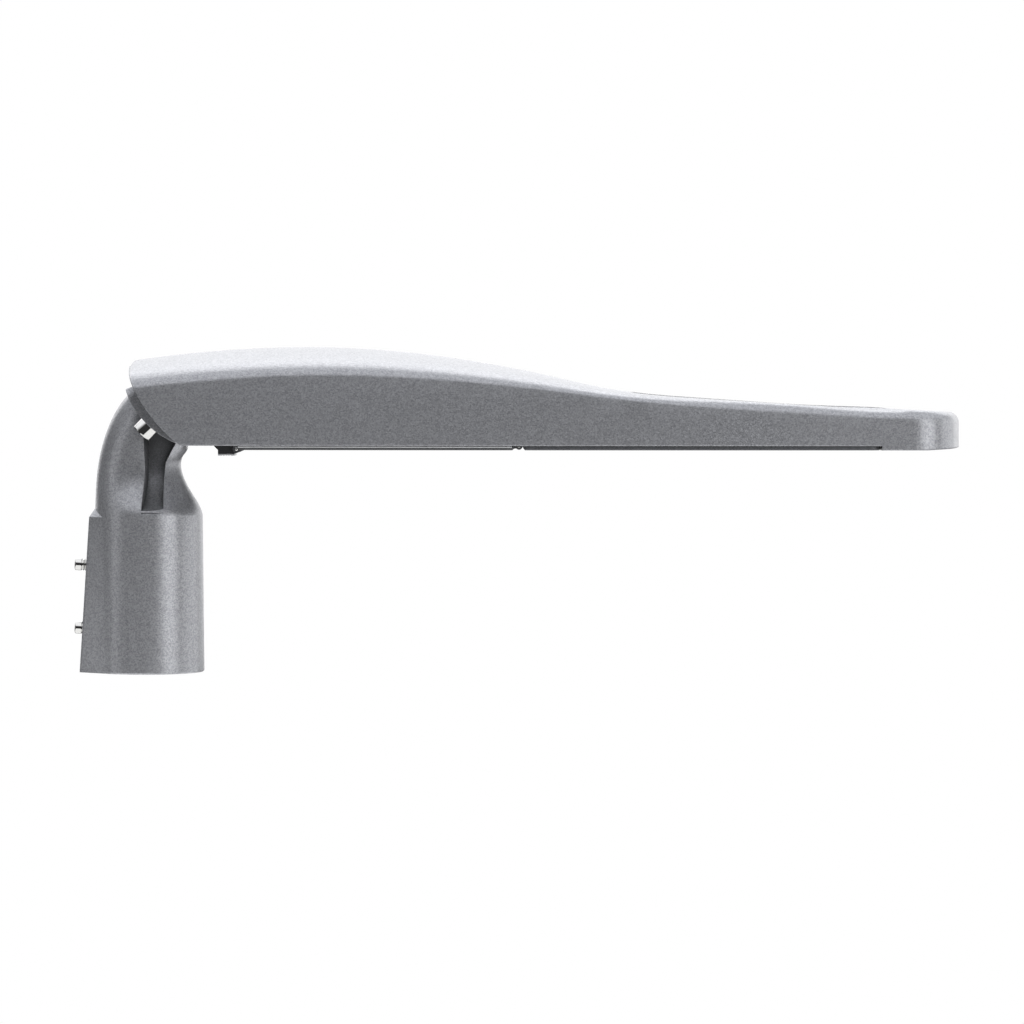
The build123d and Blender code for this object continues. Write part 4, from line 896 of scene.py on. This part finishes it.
    def set_piece(self, name: str, grid: np.ndarray) -> bpy.types.Object:
        """Makes a studio surface, which isn't part of the object.

        Args:
            name: Name of the surface.
            grid: Its points, in metres.

        Returns:
            The new object.
        """
        shell = grid_shell(grid, ends=False)
        mesh = bpy.data.meshes.new(name)
        mesh.from_pydata(shell.points.tolist(), [], shell.quads.tolist())
        made = bpy.data.objects.new(name, mesh)
        bpy.context.scene.collection.objects.link(made)
        return made

    def lamp(
        self,
        name: str,
        place: tuple[float, float, float],
        target: tuple[float, float, float],
        size: tuple[float, float],
        radiance: float,
    ) -> None:
        """Adds a soft rectangular lamp that faces a target; its power is radiance * area * pi.

        Args:
            name: Name of the lamp.
            place: Where it stands, in metres.
            target: What it faces.
            size: Its width and height, in metres.
            radiance: How bright its face is.
        """
        data = bpy.data.lights.new(name, "AREA")
        data.shape = "RECTANGLE"
        data.size, data.size_y = size
        data.energy = radiance * size[0] * size[1] * math.pi
        made = bpy.data.objects.new(name, data)
        made.location = place
        made.rotation_euler = (Vector(target) - Vector(place)).to_track_quat("-Z", "Y").to_euler()
        made.visible_camera = False
        bpy.context.scene.collection.objects.link(made)


# Object

# Heights in millimetres: the housing's rim, the tray's underside and the gear's leads
RIM_Z = 175.0
TRAY_Z = 217.5
LEAD_Z = 205.5
# The crosswise axis that the head tilts about
TILT_X, TILT_Z = 50.0, 238.5
# Plan of the head: half width where it is widest, what it loses at its rear, and over what length
WIDEST, WIDEST_X = 128.0, 480.0
NARROWING, TAPER = 24.0, 495.0


def half_width(x: float) -> float:
    """Half width of the head at x: widest less narrowing * ((widest x - x) / taper)^2 behind there."""
    return WIDEST - NARROWING * (max(WIDEST_X - x, 0.0) / TAPER) ** 2


class Crown(Enum):
    """Screw head shapes: (share of the head's radius, share of its height) from the seat up."""

    PAN = ((0.94, 0.0), (1.0, 0.14), (0.99, 0.45), (0.95, 0.7), (0.86, 0.9), (0.72, 1.0))
    CAP = ((0.93, 0.0), (1.0, 0.05), (1.0, 0.9), (0.985, 0.96), (0.95, 0.99), (0.9, 1.0))


@dataclass(frozen=True)
class Screw:
    """A screw with a hexagon socket, its seat at z 0 and its head towards +z; sizes in millimetres."""

    head_radius: float
    head_height: float
    shank_radius: float
    length: float
    socket_radius: float
    socket_depth: float
    crown: Crown = Crown.PAN
    pitch: float = 0.8
    around: int = 36

    def shell(self) -> Shell:
        """Profile from the shank's tip over the thread, the head and its rim to the socket's floor.

        The tip tapers over a third of the pitch, and the thread is 0.6 of the pitch deep.

        Returns:
            The closed surface.
        """
        tip = 0.35 * self.pitch
        turns = np.linspace(-self.length + 2 * tip, -tip, max(int(6 * self.length / self.pitch), 8))
        profile = [(self.shank_radius - 2 * tip, -self.length)]
        profile += [(self.shank_radius, height) for height in turns]
        profile += [(self.head_radius * out, self.head_height * up) for out, up in self.crown.value]
        lead_in = 0.06 * self.socket_radius
        profile.append((self.socket_radius + 2 * lead_in, self.head_height))
        profile.append((self.socket_radius, self.head_height - lead_in))
        profile.append((self.socket_radius, self.head_height - self.socket_depth))
        rings = len(profile)
        return turned(
            profile, self.around, (rings - 2, rings - 1),
            thread=(self.pitch, 0.6 * self.pitch), threaded=slice(1, 1 + len(turns)),
        )

    def set_at(self, places: Sequence[tuple[float, float, float]], axis: Sequence[float]) -> Shell:
        """One screw at each seat, all along one axis, each at its own random turn."""
        turns = np.random.default_rng(len(places)).uniform(0, TURN, len(places))
        return self.shell().repeated([placement(place, axis, turn) for place, turn in zip(places, turns)])


# Each screw's head radius and height, shank radius and length, socket radius and depth
TILT_BOLT = Screw(8.0, 10.0, 5.0, 23.0, 4.6, 5.5, Crown.CAP, pitch=1.5, around=72)
FRAME_SCREW = Screw(3.6, 1.6, 1.9, 10.0, 1.5, 1.1)
MODULE_SCREW = Screw(2.8, 1.8, 1.5, 7.0, 1.2, 1.1, pitch=0.6)
TRAY_SCREW = Screw(3.6, 2.2, 2.0, 9.5, 1.6, 1.3)
DRIVER_SCREW = Screw(3.6, 2.2, 2.0, 5.5, 1.6, 1.3)
CLAMP_SCREW = Screw(3.6, 2.2, 2.0, 13.0, 1.6, 1.3)
STRIKE_SCREW = Screw(2.4, 0.8, 1.4, 3.7, 0.9, 0.6, pitch=0.5)
EARTH_SCREW = Screw(4.5, 2.2, 2.4, 8.0, 1.9, 1.4)


@dataclass
class Fasteners:
    """Every screw of the head, its seat where the CAD has it.

    Sizes are in millimetres. A seat is the height that the heads bear on, and a half is how far from
    the middle line a pair stands. bolt_seat is a radius about the tilt axis, at bolt_turn from +x.
    """

    bolt_seat: float = 66.5
    bolt_half: float = 45.0
    bolt_turn: float = math.radians(226.5)
    frame_seat: float = 173.5
    frame_inset: float = 7.0
    frame_rear: float = 293.2
    frame_front: float = 544.8
    frame_pairs: int = 5
    module_seat: float = 183.3
    module_x: tuple[float, ...] = (340.0, 418.0, 496.0)
    module_half_x: float = 29.5
    module_half_y: float = 92.0
    tray_x: tuple[float, float] = (102.0, 252.0)
    tray_half: float = 78.0
    driver_seat: float = 214.5
    driver_x: tuple[float, float] = (106.0, 252.0)
    driver_y: float = -38.0
    clamp_seat: float = 192.0
    clamp_x: float = 62.0
    clamp_half: float = 17.0
    strike_x: float = 58.0
    strike_half: float = 13.4
    earth_place: tuple[float, float, float] = (62.0, -62.0, 186.0)

    def build(self) -> None:
        """Makes each set of screws from its kind, its seats and its axis."""
        out = (math.cos(self.bolt_turn), 0.0, math.sin(self.bolt_turn))
        seat_x, seat_z = TILT_X + self.bolt_seat * out[0], TILT_Z + self.bolt_seat * out[2]
        bolts = [(seat_x, side * self.bolt_half, seat_z) for side in (-1, 1)]
        driver = [(x, self.driver_y, self.driver_seat) for x in self.driver_x]
        clamp = [(self.clamp_x, side * self.clamp_half, self.clamp_seat) for side in (-1, 1)]
        strike = [(self.strike_x, side * self.strike_half, RIM_Z) for side in (-1, 1)]
        tray = [(x, side * self.tray_half, TRAY_Z) for x in self.tray_x for side in (-1, 1)]
        self.make("tilt_bolts", TILT_BOLT.set_at(bolts, out), STAINLESS)
        self.make("frame_screws", FRAME_SCREW.set_at(self.frame_places(), DOWN), STAINLESS)
        self.make("module_screws", MODULE_SCREW.set_at(self.module_places(), DOWN), STAINLESS)
        self.make("tray_screws", TRAY_SCREW.set_at(tray, DOWN), STAINLESS)
        self.make("driver_screws", DRIVER_SCREW.set_at(driver, DOWN), STAINLESS)
        self.make("cable_clamp_screws", CLAMP_SCREW.set_at(clamp, UP), STAINLESS)
        self.make("strike_screws", STRIKE_SCREW.set_at(strike, DOWN), STAINLESS)
        self.make("earth_screw", EARTH_SCREW.set_at([self.earth_place], UP), BRASS)

    def frame_places(self) -> list[tuple[float, float, float]]:
        """Seats along both edges of the glass frame, in pairs at even steps.

        Returns:
            Places in millimetres.
        """
        steps = np.linspace(self.frame_rear, self.frame_front, self.frame_pairs)
        return [
            (x, side * (half_width(x) - self.frame_inset), self.frame_seat)
            for x in steps
            for side in (-1, 1)
        ]

    def module_places(self) -> list[tuple[float, float, float]]:
        """Seats at the four corners of each LED module.

        Returns:
            Places in millimetres.
        """
        return [
            (x + along * self.module_half_x, across * self.module_half_y, self.module_seat)
            for x in self.module_x
            for along in (-1, 1)
            for across in (-1, 1)
        ]

    def make(self, node: str, shell: Shell, finish: Finish) -> None:
        """Puts a set of screws in place of its node.

        Args:
            node: The CAD node.
            shell: Its screws.
            finish: Their metal.
        """
        piece(node + "_turned", shell, Body.HEAD, finish, (node,))


@dataclass
class ClampScrews:
    """Two M10 set screws in the pad: rounded rim and hexagon socket outside, cup point inside."""

    axis: tuple[float, float, float] = (-0.998165, 0.0, 0.060570)
    radius: float = 4.9
    root: float = 4.1
    length: float = 25.5
    plain: float = 6.5
    pitch: float = 1.5
    thread_depth: float = 0.85
    socket: float = 2.9
    socket_depth: float = 5.0

    def build(self) -> None:
        """Makes the upper and the lower screw, each on its own body."""
        self.make("clamp_screw_upper", Body.UPPER_CLAMP)
        self.make("clamp_screw_lower", Body.LOWER_CLAMP)

    def make(self, node: str, body: Body) -> None:
        """Makes one screw along the line through the middle of its node's box.

        Args:
            node: The screw's CAD node.
            body: Its body.
        """
        low, high = box_mm(node)
        tip = (low + high) / 2 - np.array(self.axis) * self.length / 2
        shell = self.shell().placed(placement(tip, self.axis))
        piece(node + "_threaded", shell, body, STAINLESS, (node,))

    def shell(self) -> Shell:
        """Profile from the cup point over the thread and the plain end to the socket's floor.

        Returns:
            The closed surface.
        """
        rim, end = self.length, self.length - self.plain
        turns = np.linspace(1.2, end, int(8 * self.length / self.pitch))
        cup = [(0.8, 1.6), (2.4, 0.0), (2.9, 0.0), (self.root, 0.9)]
        thread = [(self.radius, height) for height in turns]
        neck = [(self.root, end + 0.3), (self.root, end + 0.8), (self.radius, end + 1.5)]
        crown = [(self.radius, rim - 1.3), (4.78, rim - 0.75), (4.5, rim - 0.3), (4.05, rim - 0.05)]
        lip = [(3.6, rim), (3.15, rim - 0.05)]
        socket = [(self.socket, rim - 0.4), (self.socket, rim - self.socket_depth)]
        profile = cup + thread + neck + crown + lip + socket
        rings, first = len(profile), len(cup)
        return turned(
            profile, 48, (rings - 2, rings - 1),
            thread=(self.pitch, self.thread_depth), threaded=slice(first, first + len(turns)),
        )


@dataclass
class Pins:
    """Drawn wire pins with domed ends: two hinge pins of the door and the latch's pin."""

    radius: float = 1.5
    hinge_x: float = 283.5
    hinge_y: float = 96.0
    hinge_z: float = 174.5
    hinge_half: float = 9.8
    latch_place: tuple[float, float, float] = (68.2, 0.0, 171.2)
    latch_half: float = 19.8

    def build(self) -> None:
        """Makes the hinge pins on the head and the latch pin on the door."""
        places = [placement((self.hinge_x, side * self.hinge_y, self.hinge_z), ALONG_Y) for side in (-1, 1)]
        hinges = self.shell(self.hinge_half).repeated(places)
        piece("hinge_pins_domed", hinges, Body.HEAD, PIN_STEEL, ("hinge_pins",))
        latch = self.shell(self.latch_half).placed(placement(self.latch_place, ALONG_Y))
        piece("latch_pin_domed", latch, Body.DOOR, STAINLESS, ("latch_pin",))

    def shell(self, half: float) -> Shell:
        """Round bar whose ends are domes: r sin a out and r cos a / 2 on from where they start.

        Args:
            half: Half its length, in millimetres.

        Returns:
            The closed surface.
        """
        angle = np.linspace(0.15, 1.0, 6) * math.pi / 2
        out, back = self.radius * np.sin(angle), self.radius * np.cos(angle) / 2
        end = list(zip(out, half - self.radius / 2 + back))
        start = [(radius, -height) for radius, height in end]
        return turned(start + end[::-1], 32)


@dataclass
class LatchPlate:
    """Thumb plate under the latch lever, with grip grooves across its underside.

    Depth and edge are in millimetres; the others are a count and shares of the plate's length.
    """

    grooves: int = 4
    groove_depth: float = 0.35
    grooved_from: float = 0.2
    grooved_over: float = 0.6
    edge: float = 0.45
    edge_over: float = 0.035

    def build(self) -> None:
        """Carries the outline seen along y, grooved by depth * sin(180 grooves s)^2, across y."""
        low, high = box_mm("latch_plate")
        place = np.linspace(0.0, 1.0, 49)
        share = np.clip((place - self.grooved_from) / self.grooved_over, 0, 1)
        wave = np.sin(math.pi * self.grooves * share) ** 2
        to_end = np.minimum(place, 1 - place)
        corner = self.edge * (1 - np.minimum(1.0, to_end / self.edge_over)) ** 2
        bottom = low[2] + self.groove_depth * wave + corner
        x = low[0] + (high[0] - low[0]) * place
        under = np.column_stack([bottom, x])
        top = np.array([(high[2], high[0]), (high[2], low[0])])
        outline = np.vstack([under, top])
        shell = prism(outline, blunt(low[1], high[1], self.edge))
        turned_over = np.eye(4)
        turned_over[:3, :3] = [[0, 1, 0], [0, 0, 1], [1, 0, 0]]
        piece("latch_thumb_plate", shell.placed(turned_over), Body.LATCH, LATCH_LACQUER, ("latch_plate",))


@dataclass
class DoorEdgeHighlight:
    """Bright anodised strip along each side of the door, bevelled under its outer edge: a painted highlight
    where the door's top edge catches light, on metal that also reflects the lamps.
    """

    start_x: float = 74.6
    end_x: float = 278.0
    top: float = 174.7
    inset: float = 1.7
    stations: int = 41
    section: tuple[tuple[float, float], ...] = (
        (-0.3, 0.0), (1.3, 0.0), (1.5, -0.25), (1.4, -0.6), (0.3, -1.15), (-0.3, -1.2),
    )

    def build(self) -> None:
        """Sweeps the bevelled section along the door's two curved sides."""
        strips = []
        for side in (-1, 1):
            x = np.linspace(self.start_x, self.end_x, self.stations)[::-side]
            y = [side * (half_width(place) - self.inset) for place in x]
            path = np.column_stack([x, y, np.full(self.stations, self.top)])
            strips.append(swept(path, np.array(self.section), UP))
        # Painted highlight: a light strip where the door's edge catches light
        piece("door_edge_highlight_strip", joined(strips), Body.DOOR, DOOR_HIGHLIGHT_METAL)


@dataclass
class DoorSeal:
    """Silicone cord seal in the rim's groove, round the gear compartment."""

    start_x: float = 84.0
    end_x: float = 272.0
    inset: float = 13.5
    corner: float = 12.0
    offset: float = 5.2
    bottom: float = 174.9
    height: float = 3.3
    width: float = 3.4
    rounding: float = 1.4

    def path(self) -> np.ndarray:
        """Loop round the opening: quarter circles at the corners, joined along the curved sides.

        Returns:
            Points, (n, 3), at the seal's middle height.
        """
        radius = self.corner + self.offset
        rear, front = self.start_x - self.offset, self.end_x + self.offset
        sides = []
        for sign_x, sign_y, first in ((1, 1, 0), (-1, 1, 90), (-1, -1, 180), (1, -1, 270)):
            angle = np.radians(first + np.linspace(0, 90, 13))
            x = (front if sign_x > 0 else rear) - sign_x * radius
            y = sign_y * (half_width(x) - self.inset + self.offset - radius)
            sides.append(np.stack([x + radius * np.cos(angle), y + radius * np.sin(angle)], axis=-1))
        x = np.linspace(front - radius, rear + radius, 40)[1:-1]
        y = np.array([half_width(value) for value in x]) - self.inset + self.offset
        upper, lower = np.stack([x, y], axis=-1), np.stack([x[::-1], -y[::-1]], axis=-1)
        flat = np.vstack([sides[0], upper, sides[1], sides[2], lower, sides[3]])
        return np.column_stack([flat, np.full(len(flat), self.bottom + self.height / 2)])

    def build(self) -> None:
        """Sweeps a rounded section round the loop."""
        section = rounded_ring(self.width, self.height, self.rounding)
        shell = swept(self.path(), section, UP, closed=True)
        piece("door_seal", shell, Body.HEAD, SILICONE, ("door_gasket",), 50.0)


@dataclass
class Driver:
    """LED driver: an extruded ribbed case on a base plate, between two end caps with lead sockets."""

    foot: float = 8.0
    plate: float = 3.0
    plate_narrower: float = 6.0
    rib_pitch: float = 6.2
    rib_depth: float = 1.0
    rib_margin: float = 1.5
    shoulder: float = 3.0
    wall_inset: float = 0.5
    cap_length: float = 5.0
    socket_y: tuple[float, ...] = (-57.0, -52.0, -47.0)

    def build(self) -> None:
        """Makes the case, the plate and the caps."""
        low, high = box_mm("led_driver")
        self.case(low, high)
        middle = (low + high) / 2
        levels = blunt(high[2] - self.plate, high[2], 0.4)
        base = stacked(high[0] - low[0], high[1] - low[1] - self.plate_narrower, 4.0, levels)
        base = base.placed(placement((middle[0], middle[1], 0.0), UP))
        piece("driver_base_plate", base, Body.HEAD, MILL_SHEET)
        self.caps(low, high)

    def case(self, low: np.ndarray, high: np.ndarray) -> None:
        """Carries the case's outline along x, its ribs z = depth (1 - cos(360 y / pitch)) / 2.

        Args:
            low: Lowest corner of the driver.
            high: Highest corner of the driver.
        """
        first, last = low[1] + self.rib_margin, high[1] - self.rib_margin
        wall = high[1] - self.wall_inset
        y = np.linspace(first, last, 121)
        ribs = low[2] + self.rib_depth / 2 * (1 - np.cos(TURN * (y - y[0]) / self.rib_pitch))
        under = np.column_stack([-ribs, y])
        sides = [
            (-low[2] - self.rib_margin, wall),
            (-low[2] - self.shoulder, wall),
            (-high[2] + self.plate, wall),
        ]
        mirrored = [(z, low[1] + high[1] - across) for z, across in reversed(sides)]
        start, end = low[0] + self.foot + self.cap_length, high[0] - self.foot - self.cap_length
        shell = prism(np.vstack([under, sides, mirrored]), [(0.0, start), (0.0, end)])
        shell = shell.placed(placement((0.0, 0.0, 0.0), ALONG_X))
        piece("driver_case", shell, Body.HEAD, DRIVER_ENAMEL, ("led_driver",))

    def caps(self, low: np.ndarray, high: np.ndarray) -> None:
        """Makes the two end caps, and a collar on the first for each lead.

        Args:
            low: Lowest corner of the driver.
            high: Highest corner of the driver.
        """
        start, end = low[0] + self.foot, high[0] - self.foot
        tall, wide = high[2] - low[2] - self.plate, high[1] - low[1]
        middle_y, middle_z = (low[1] + high[1]) / 2, (low[2] + high[2] - self.plate) / 2
        cap = stacked(tall, wide, 3.0, blunt(0.0, self.cap_length, 1.0))
        places = [placement((x, middle_y, middle_z), ALONG_X) for x in (start, end - self.cap_length)]
        collar = turned([(2.2, 0.0), (2.2, 1.2), (1.5, 1.2), (1.5, 0.0)], 24, ring=True)
        collars = collar.repeated([placement((start - 0.6, y, LEAD_Z), ALONG_X) for y in self.socket_y])
        piece("driver_end_caps", joined([cap.repeated(places), collars]), Body.HEAD, GREY_NYLON)


@dataclass
class SurgeArrester:
    """Moulded case with a raised face between two grip ribs, and a green status window."""

    face_shorter: float = 12.0
    face_narrower: float = 10.0
    grip_inset: float = 3.0
    window_offset: float = 9.0

    def build(self) -> None:
        """Makes the case with its face and ribs, then the window's dome."""
        low, high = box_mm("surge_protector")
        middle, size = (low + high) / 2, high - low
        floor = low[2]
        case = stacked(size[0], size[1], 2.5, blunt(floor + 2.0, high[2], 1.0))
        long, wide = size[0] - self.face_shorter, size[1] - self.face_narrower
        face = stacked(long, wide, 2.0, blunt(floor + 0.6, floor + 3.0, 0.7))
        grip = stacked(1.6, size[1] - 8.0, 0.7, blunt(floor + 0.8, floor + 3.0, 0.4))
        reach = size[0] / 2 - self.grip_inset
        grips = grip.repeated([placement((side * reach, 0.0, 0.0), UP) for side in (-1, 1)])
        whole = joined([case, face, grips]).placed(placement((middle[0], middle[1], 0.0), UP))
        piece("surge_case", whole, Body.HEAD, BLACK_NYLON, ("surge_protector",))
        lens = turned([(2.6, -1.0), (2.6, 0.1), (2.3, 0.4), (1.4, 0.58), (0.4, 0.6)], 32)
        lens = lens.placed(placement((middle[0] + self.window_offset, middle[1], floor + 0.7), DOWN))
        piece("surge_status_window", lens, Body.HEAD, STATUS_GREEN)


@dataclass
class Terminals:
    """Slotted clamp screws in the terminal block's eight openings."""

    pitch: float = 13.0
    row_half: float = 6.0
    sunk: float = 1.6
    turn_step: float = 0.4

    def build(self) -> None:
        """Stands two half discs, with the slot between them, on a ring, and sets each screw."""
        angle = np.linspace(0.14, 0.86, 16) * math.pi
        half = 2.4 * np.column_stack([np.cos(angle), np.sin(angle)])
        head = [turned([(1.9, -2.0), (2.4, -2.0), (2.4, -0.7), (1.9, -0.7)], 32)]
        head += [prism(half * side, [(0.0, -0.8), (0.0, -0.2), (0.15, 0.0)]) for side in (-1, 1)]
        low, high = box_mm("terminal_block")
        middle = (low + high) / 2
        places = [
            (middle[0] + self.row_half * side, middle[1] + self.pitch * (way - 1.5), low[2] + self.sunk)
            for side in (-1, 1)
            for way in range(4)
        ]
        turns = [self.turn_step * number for number in range(len(places))]
        matrices = [placement(place, DOWN, turn) for place, turn in zip(places, turns)]
        piece("terminal_screws", joined(head).repeated(matrices), Body.HEAD, BRASS)


@dataclass
class GearLeads:
    """Short leads between the blocks: each colour's (x, y) starts and ends, in millimetres."""

    radius: float = 1.4
    sag_share: float = 1 / 7
    brown: tuple = (((116, 16), (116, -7)), ((132, 34), (146, 34)), ((182, 34), (196, 34)))
    blue: tuple = (((124, 16), (124, -7)), ((132, 46), (146, 46)), ((182, 46), (196, 46)))
    black: tuple = (((132, 58), (146, 58)),)

    def build(self) -> None:
        """Makes one piece of each colour."""
        ways = ((LEAD_BROWN, self.brown), (LEAD_BLUE, self.blue), (LEAD_PVC, self.black))
        for number, (finish, runs) in enumerate(ways, 1):
            tubes = [self.lead(start, end) for start, end in runs]
            piece(f"gear_leads_{number}", joined(tubes), Body.HEAD, finish, ("gear_leads",), 60.0)

    def lead(self, start: tuple[float, float], end: tuple[float, float]) -> Shell:
        """Round lead whose middle hangs by sag * sin(180 s)^2 at share s of its way.

        Args:
            start: (x, y) where it begins.
            end: (x, y) where it ends.

        Returns:
            The tube.
        """
        share = np.linspace(0, 1, 21)[:, None]
        flat = np.array(start) + share * (np.array(end) - np.array(start))
        sag = np.linalg.norm(np.array(end) - np.array(start)) * self.sag_share
        rise = LEAD_Z - sag * np.sin(math.pi * share) ** 2
        return swept(np.hstack([flat, rise]), circle(self.radius), UP)


@dataclass
class WallFittings:
    """Ridged gland round the driver's lead and the breather's cap, both through the wall."""

    wall_x: float = 270.2
    gland_y: float = -20.0
    gland_z: float = 185.6
    vent_y: float = 64.0
    vent_z: float = 186.6

    def build(self) -> None:
        """Turns each from its profile, with z of the profile along x."""
        ridges = [(3.95 - 0.35 * (step % 2), 2.2 + 1.3 * step) for step in range(18)]
        flange = [(2.25, 0.0), (4.3, 0.0), (5.0, 0.5), (5.0, 1.5), (4.7, 1.8)]
        gland = turned([*flange, *ridges, (3.2, 25.8), (2.25, 25.8)], 40, ring=True)
        gland = gland.placed(placement((self.wall_x, self.gland_y, self.gland_z), ALONG_X))
        piece("lead_gland_ridged", gland, Body.HEAD, EPDM, ("lead_gland",))
        cap = [(1.5, 0.0), (4.4, 0.0), (5.6, 0.35), (6.0, 0.9), (6.0, 1.5), (5.6, 1.8)]
        stem = [(3.0, 1.8), (3.0, 25.4), (2.6, 25.8), (1.5, 25.8)]
        vent = turned(cap + stem, 48, ring=True)
        vent = vent.placed(placement((self.wall_x, self.vent_y, self.vent_z), ALONG_X))
        piece("breather_vent_cap", vent, Body.HEAD, BLACK_NYLON, ("breather_vent",))


@dataclass
class LedModule:
    """One LED module: twelve packages on its board under one moulded plate of twelve lenses.

    lens_x and lens_y are half sizes of a lens, and dip and dip_width shape the hollow across it.
    """

    number: int
    pitch_x: float = 33.0
    pitch_y: float = 31.0
    rows: int = 6
    lens_x: float = 7.0
    lens_y: float = 12.0
    lens_height: float = 4.4
    thickness: float = 2.0
    rim: float = 2.0
    corner: float = 4.0
    dip: float = 0.25
    dip_width: float = 0.35
    steps_inside: int = 75
    steps_in_rim: int = 5
    steps_across: int = 190

    def build(self) -> None:
        """Makes the packages and the lens plate."""
        self.packages()
        shell = self.lens_plate()
        node = f"lens_array_{self.number}"
        piece(node + "_moulded", shell, Body.HEAD, ACRYLIC, (node,), 50.0)

    def packages(self) -> None:
        """White cases with phosphor domes in them, as two pieces."""
        node = f"led_chips_{self.number}"
        low, high = box_mm(node)
        middle = (low + high) / 2
        x = [middle[0] + side * self.pitch_x / 2 for side in (-1, 1)]
        y = [middle[1] + self.pitch_y * (row - (self.rows - 1) / 2) for row in range(self.rows)]
        places = [placement((along, across, high[2]), DOWN) for along in x for across in y]
        case = stacked(5.0, 5.0, 0.5, [(0.0, 0.0), (0.0, 0.45), (0.12, 0.55), (0.5, 0.55)])
        piece(f"led_cases_{self.number}", case.repeated(places), Body.HEAD, LED_CERAMIC, (node,))
        angle = np.linspace(0.0, 0.94, 8) * math.pi / 2
        dome = turned(list(zip(1.95 * np.cos(angle), 0.5 + 0.3 * np.sin(angle))), 32)
        piece(f"led_domes_{self.number}", dome.repeated(places), Body.HEAD, PHOSPHOR)

    def bulge(self, x: np.ndarray, y: np.ndarray) -> np.ndarray:
        """Height of the lenses under the plate: H (1 - d^4)^0.6 (1 - dip exp(-(w / dip width)^2)).

        u and w are the distances from the lens's middle over its half sizes, and d^2 = u^2 + w^2.

        Args:
            x: Places along x from the plate's middle.
            y: Places along y from the plate's middle.

        Returns:
            Heights in millimetres, none outside the lenses.
        """
        u = (np.abs(x) - self.pitch_x / 2) / self.lens_x
        shifted = np.mod(y + self.rows / 2 * self.pitch_y, self.pitch_y) - self.pitch_y / 2
        w = shifted / self.lens_y
        distance = u**2 + w**2
        hollow = 1 - self.dip * np.exp(-((w / self.dip_width) ** 2))
        return self.lens_height * np.clip(1 - distance**2, 0, 1) ** 0.6 * hollow

    def lens_plate(self) -> Shell:
        """Sections across y at steps along x: the lenses below, a flat top inside a raised rim above.

        Returns:
            The closed surface.
        """
        low, high = box_mm(f"lens_array_{self.number}")
        middle = (low + high) / 2
        half_x, half_y = (high[0] - low[0]) / 2, (high[1] - low[1]) / 2
        top = high[2]
        bottom = low[2] + self.lens_height
        inner = np.linspace(-half_x + self.rim, half_x - self.rim, self.steps_inside)
        outer = np.linspace(half_x - self.rim, half_x, self.steps_in_rim)
        x = np.concatenate([-outer[::-1], inner, outer])[:, None]
        at_rim = np.full(self.steps_in_rim, top)
        sunk = np.full(self.steps_inside, bottom + self.thickness)
        floor = np.concatenate([at_rim, sunk, at_rim])[:, None]
        past = np.maximum(np.abs(x) - half_x + self.corner, 0)
        reach = half_y - self.corner + np.sqrt(np.maximum(self.corner**2 - past**2, 0))
        under_y = np.linspace(-1, 1, self.steps_across) * reach
        under_z = bottom - self.bulge(x, under_y)
        edge_y = np.hstack([reach, reach - self.rim, reach - self.rim])
        over_y = np.hstack([edge_y, -edge_y[:, ::-1]])
        full = np.full_like(x, top)
        over_z = np.hstack([full, full, floor, floor, full, full])
        across, rise = np.hstack([under_y, over_y]), np.hstack([under_z, over_z])
        grid = np.stack([middle[0] + x + 0 * across, middle[1] + across, rise], axis=-1)
        return grid_shell(grid)


@dataclass
class CarriedNodes:
    """CAD nodes whose shape is right: each gets its finish and smooth shading.

    weld is the distance in metres under which a mesh's loose corners become one, and split the
    angle in degrees above which an edge stays sharp.
    """

    finishes: dict[str, Finish] = field(default_factory=lambda: {
        "upper_housing": HOUSING_COAT,
        "gear_door": DOOR_SHADE_COAT,
        "glass_frame": FRAME_COAT,
        "pole_adapter": ADAPTER_COAT,
        "saddle_washers": STAINLESS,
        "isolator_blades": BRASS,
        "latch_strike": PIN_STEEL,
        "gear_tray": MILL_SHEET,
        "terminal_block": WHITE_NYLON,
        "isolator_socket": GREY_NYLON,
        "cable_clamp": BLACK_NYLON,
        "latch_lever": BLACK_NYLON,
        "cable_grommet": EPDM,
        "glass_gasket": SILICONE,
        "window_glass": FLAT_GLASS,
        "driver_lead": LEAD_PVC,
        "led_board_1": SOLDER_RESIST,
        "led_board_2": SOLDER_RESIST,
        "led_board_3": SOLDER_RESIST,
    })
    weld: float = 1e-6
    split: float = 24.0

    def build(self) -> None:
        """Dresses each node."""
        for name, finish in self.finishes.items():
            made = frame["nodes"][name]
            finish.put_on(made)
            made.data.polygons.foreach_set("use_smooth", np.ones(len(made.data.polygons), bool))
            weld = made.modifiers.new("weld", "WELD")
            weld.merge_threshold = self.weld
            crisp(made, self.split)
            log.info("dressed %s", name)


def main() -> None:
    """Builds the studio and every sub-assembly in order."""
    logging.basicConfig(level=logging.INFO, format="%(name)s %(message)s")
    parts = [Studio(), CarriedNodes(), Fasteners(), ClampScrews(), Pins()]
    parts += [LatchPlate(), DoorEdgeHighlight(), DoorSeal()]
    parts += [Driver(), SurgeArrester(), Terminals(), GearLeads(), WallFittings()]
    parts += [LedModule(number) for number in (1, 2, 3)]
    for part in parts:
        part.build()


if __name__ == "__main__":
    main()
